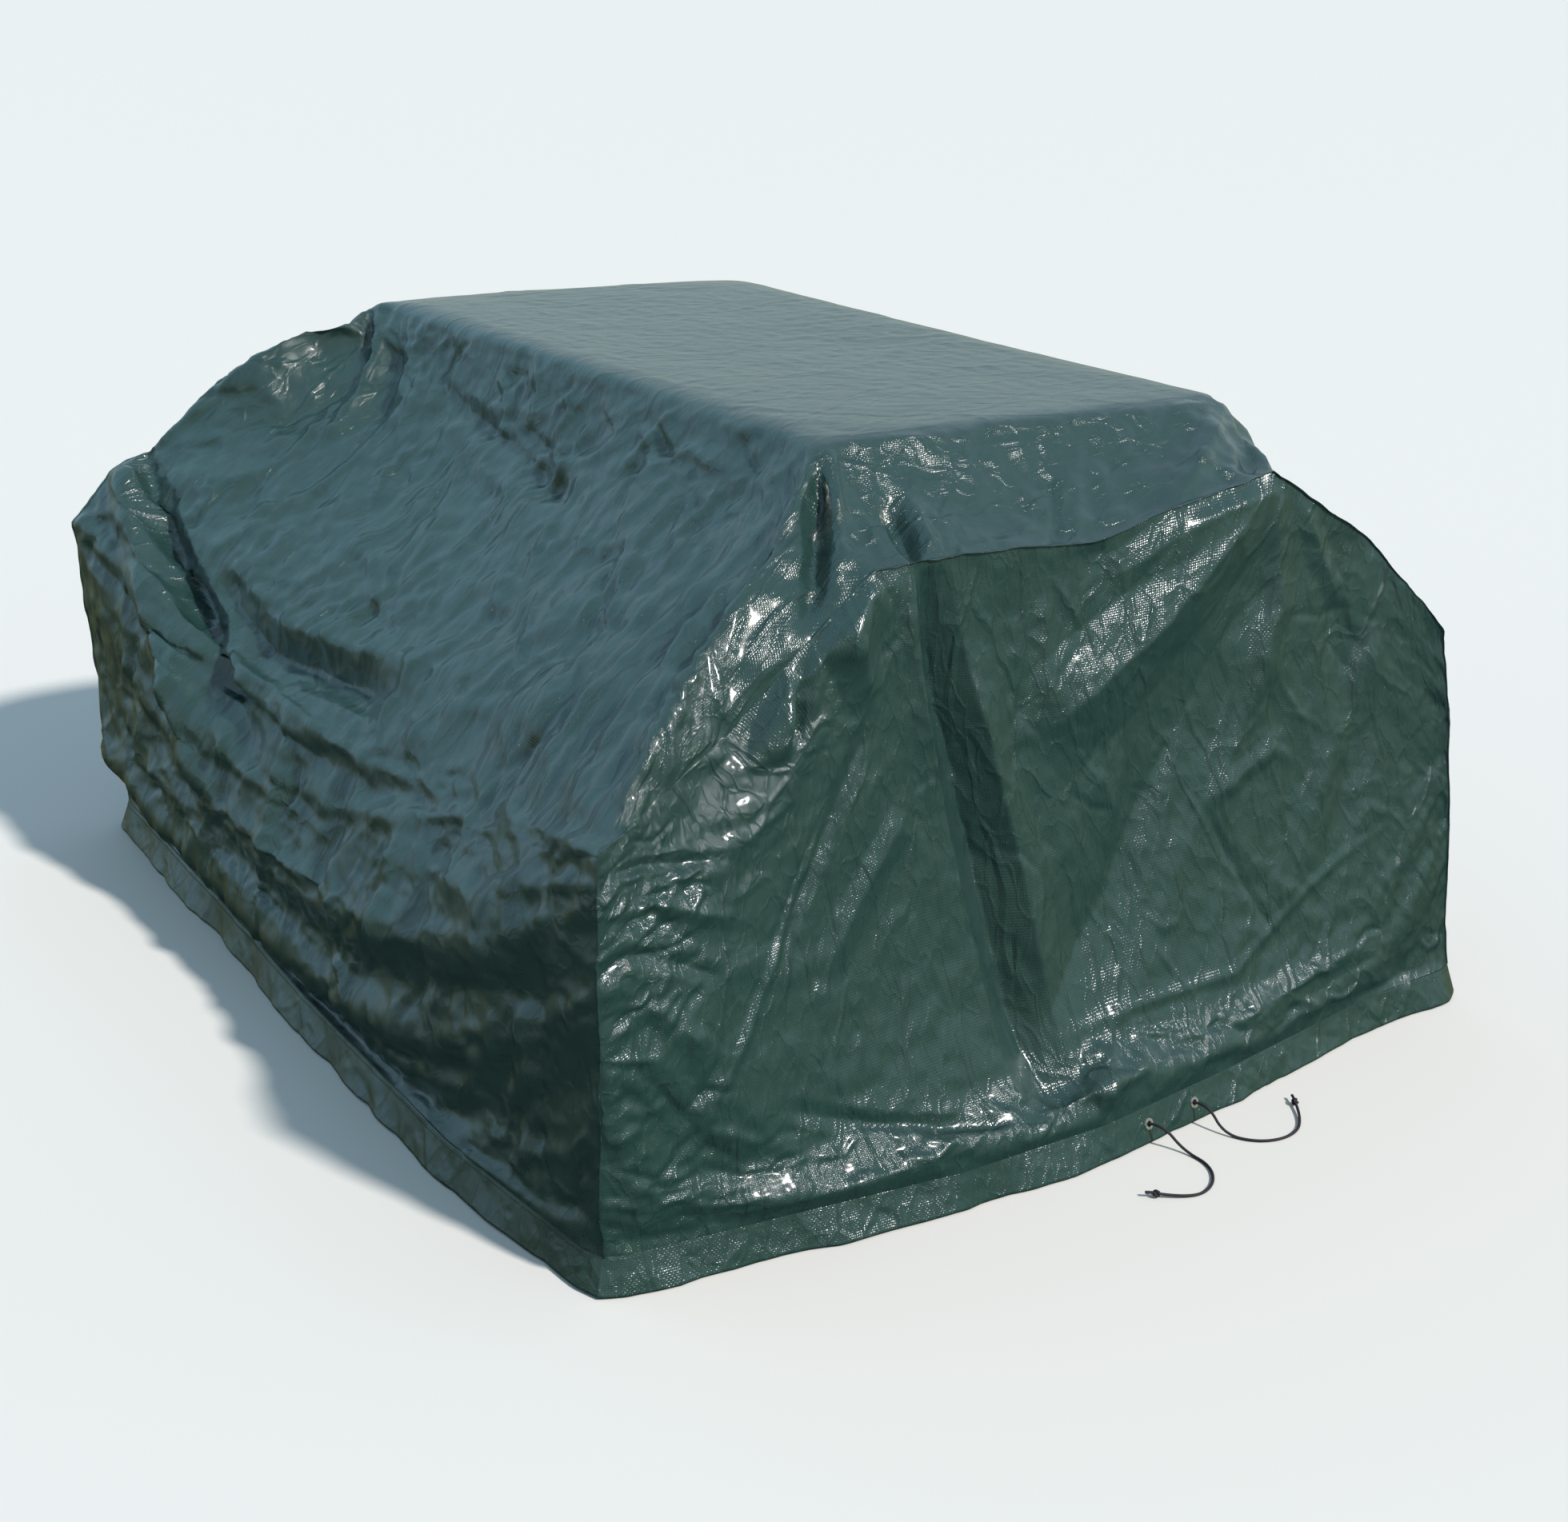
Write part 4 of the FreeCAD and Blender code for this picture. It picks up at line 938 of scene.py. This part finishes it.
def noise(vector, scale, detail, rough=0.55, distortion=0.0, stretch=(1.0, 1.0, 1.0)):
    mapping = nodes.new("ShaderNodeMapping")
    mapping.inputs["Scale"].default_value = stretch
    links.new(vector, mapping.inputs["Vector"])
    node = nodes.new("ShaderNodeTexNoise")
    node.inputs["Scale"].default_value = scale
    node.inputs["Detail"].default_value = detail
    node.inputs["Roughness"].default_value = rough
    node.inputs["Distortion"].default_value = distortion
    links.new(mapping.outputs["Vector"], node.inputs["Vector"])
    return node.outputs["Fac"]


def creases(vector, scale, sharp, turn):
    """Lines where a warped cell pattern's cells meet, 1 on the line."""
    mapping = nodes.new("ShaderNodeMapping")
    mapping.inputs["Rotation"].default_value = (0.0, 0.0, turn)
    mapping.inputs["Scale"].default_value = (1.0, 0.55, 1.0)
    links.new(vector, mapping.inputs["Vector"])
    warp = nodes.new("ShaderNodeVectorMath")
    warp.operation = "MULTIPLY_ADD"
    wander = nodes.new("ShaderNodeTexNoise")
    wander.inputs["Scale"].default_value = scale * 0.8
    links.new(mapping.outputs["Vector"], wander.inputs["Vector"])
    links.new(wander.outputs["Color"], warp.inputs[0])
    warp.inputs[1].default_value = (1.2 / scale, 1.2 / scale, 0.0)
    links.new(mapping.outputs["Vector"], warp.inputs[2])
    cells = nodes.new("ShaderNodeTexVoronoi")
    cells.feature = "DISTANCE_TO_EDGE"
    cells.inputs["Scale"].default_value = scale
    links.new(warp.outputs["Vector"], cells.inputs["Vector"])
    return maths("SUBTRACT", 1.0, maths("DIVIDE", cells.outputs["Distance"], sharp), clamp=True)


def relief(height, distance, strength, before=None):
    node = nodes.new("ShaderNodeBump")
    node.inputs["Distance"].default_value = distance
    node.inputs["Strength"].default_value = strength
    links.new(height, node.inputs["Height"])
    if before is not None:
        links.new(before, node.inputs["Normal"])
    return node.outputs["Normal"]


pattern_map = nodes.new("ShaderNodeUVMap")
pattern_map.uv_map = "pattern"
pattern = pattern_map.outputs["UV"]
parts = nodes.new("ShaderNodeSeparateXYZ")
links.new(pattern, parts.inputs["Vector"])
wave_x = maths("SINE", maths("MULTIPLY", parts.outputs["X"], math.pi / TAPE))
wave_y = maths("SINE", maths("MULTIPLY", parts.outputs["Y"], math.pi / TAPE))
hump_x, hump_y = maths("ABSOLUTE", wave_x), maths("ABSOLUTE", wave_y)
warp_over = maths("GREATER_THAN", maths("MULTIPLY", wave_x, wave_y), 0.0)
warp_tape = maths("MULTIPLY", maths("POWER", hump_x, 0.5), maths("MULTIPLY_ADD", hump_y, 0.45, 0.55))
weft_tape = maths("MULTIPLY", maths("POWER", hump_y, 0.5), maths("MULTIPLY_ADD", hump_x, 0.45, 0.55))
weave = maths("ADD", maths("MULTIPLY", warp_tape, warp_over),
              maths("MULTIPLY", weft_tape, maths("SUBTRACT", 1.0, warp_over)))
uneven = noise(pattern, 150.0, 2.0, 0.6)
streaks = noise(pattern, 70.0, 5.0, 0.62, 0.3, (1.6, 0.28, 1.0))
dents = noise(pattern, 34.0, 6.0, 0.62, 0.7)
large_creases = creases(pattern, 13.0, 0.10, 0.5)
small_creases = creases(pattern, 38.0, 0.12, -0.6)

skin = relief(dents, 0.0026, 0.34)
skin = relief(large_creases, 0.0022, 0.9, skin)
skin = relief(small_creases, 0.0009, 0.8, skin)
skin = relief(streaks, 0.0006, 0.14, skin)
skin = relief(uneven, 0.0007, 0.6, skin)
skin = relief(weave, 0.00032, 1.0, skin)
links.new(skin, shader.inputs["Normal"])

tone = nodes.new("ShaderNodeValToRGB")
tone.color_ramp.elements[0].color = (0.010, 0.030, 0.0265, 1.0)
tone.color_ramp.elements[1].color = (0.017, 0.048, 0.0425, 1.0)
links.new(maths("ADD", maths("MULTIPLY", streaks, 0.6), maths("MULTIPLY", weave, 0.4)), tone.inputs["Fac"])
links.new(tone.outputs["Color"], shader.inputs["Base Color"])
links.new(maths("MULTIPLY_ADD", dents, 0.14, 0.13), shader.inputs["Roughness"])
shader.inputs["IOR"].default_value = 1.52
shader.inputs["Coat Weight"].default_value = 0.6
shader.inputs["Coat Roughness"].default_value = 0.13


def plain(name, colour, roughness, metallic=0.0, grain=0.0):
    """A plain material; grain gives it a fine relief, in metres."""
    paint = bpy.data.materials.new(name)
    paint.use_nodes = True
    tree = paint.node_tree
    surface = tree.nodes["Principled BSDF"]
    surface.inputs["Base Color"].default_value = (*colour, 1.0)
    surface.inputs["Roughness"].default_value = roughness
    surface.inputs["Metallic"].default_value = metallic
    if grain:
        place = tree.nodes.new("ShaderNodeTexCoord")
        speck = tree.nodes.new("ShaderNodeTexNoise")
        speck.inputs["Scale"].default_value = 900.0
        speck.inputs["Detail"].default_value = 4.0
        tree.links.new(place.outputs["Object"], speck.inputs["Vector"])
        bump = tree.nodes.new("ShaderNodeBump")
        bump.inputs["Distance"].default_value = grain
        tree.links.new(speck.outputs["Fac"], bump.inputs["Height"])
        tree.links.new(bump.outputs["Normal"], surface.inputs["Normal"])
    return paint


thread_paint = plain("green_thread", (0.010, 0.030, 0.024), 0.65)
cord_paint = plain("dark_braided_cord", (0.014, 0.011, 0.018), 0.75, 0.0, 0.0008)
eyelet_paint = plain("pressed_eyelet_metal", (0.74, 0.72, 0.68), 0.32, 1.0, 0.0001)

# Materials and links to the frame. The soft pieces' sizes listed below are not read.
for node, paint in (("eyelet_left", eyelet_paint), ("eyelet_right", eyelet_paint),
                    ("washer_left", eyelet_paint), ("washer_right", eyelet_paint), ("draw_cord", cord_paint)):
    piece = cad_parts[node]
    if not piece.material_slots:
        piece.data.materials.append(paint)
    for holder in piece.material_slots:
        holder.material = paint

for piece, node in [(front_lip, "front_seam"), (back_lip, "back_seam")] + [
        (strip, side + "_hem") for strip, side in zip(casings, SIDES)]:
    piece.data.materials.append(sheet_green)
    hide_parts(node)
    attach(piece, "root")
for row, side in zip(stitches, SIDES):
    row.data.materials.append(thread_paint)
    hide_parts(side + "_hem_stitch")
    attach(row, "root")
for side, length in (("left", 0.245), ("right", 0.253)):
    cords[side].data.materials.append(cord_paint)
    knots[side].data.materials.append(cord_paint)
    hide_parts("cord_tail_" + side)
    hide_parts("end_knot_" + side)
    for piece in (cords[side], knots[side]):
        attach(piece, "root")

for sheet, node, flat, pieces in (
        (wrap_sheet, "wrap_panel", (WRAP_LENGTH, DEPTH), [casings[1], casings[3], stitches[1], stitches[3]]),
        (front_sheet, "front_panel", (TOP_WIDTH, SKIRT), [casings[0], stitches[0], front_lip]),
        (back_sheet, "back_panel", (TOP_WIDTH, SKIRT), [casings[2], stitches[2], back_lip])):
    sheet.data.materials.append(sheet_green)
    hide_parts(node)
    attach(sheet, "root")
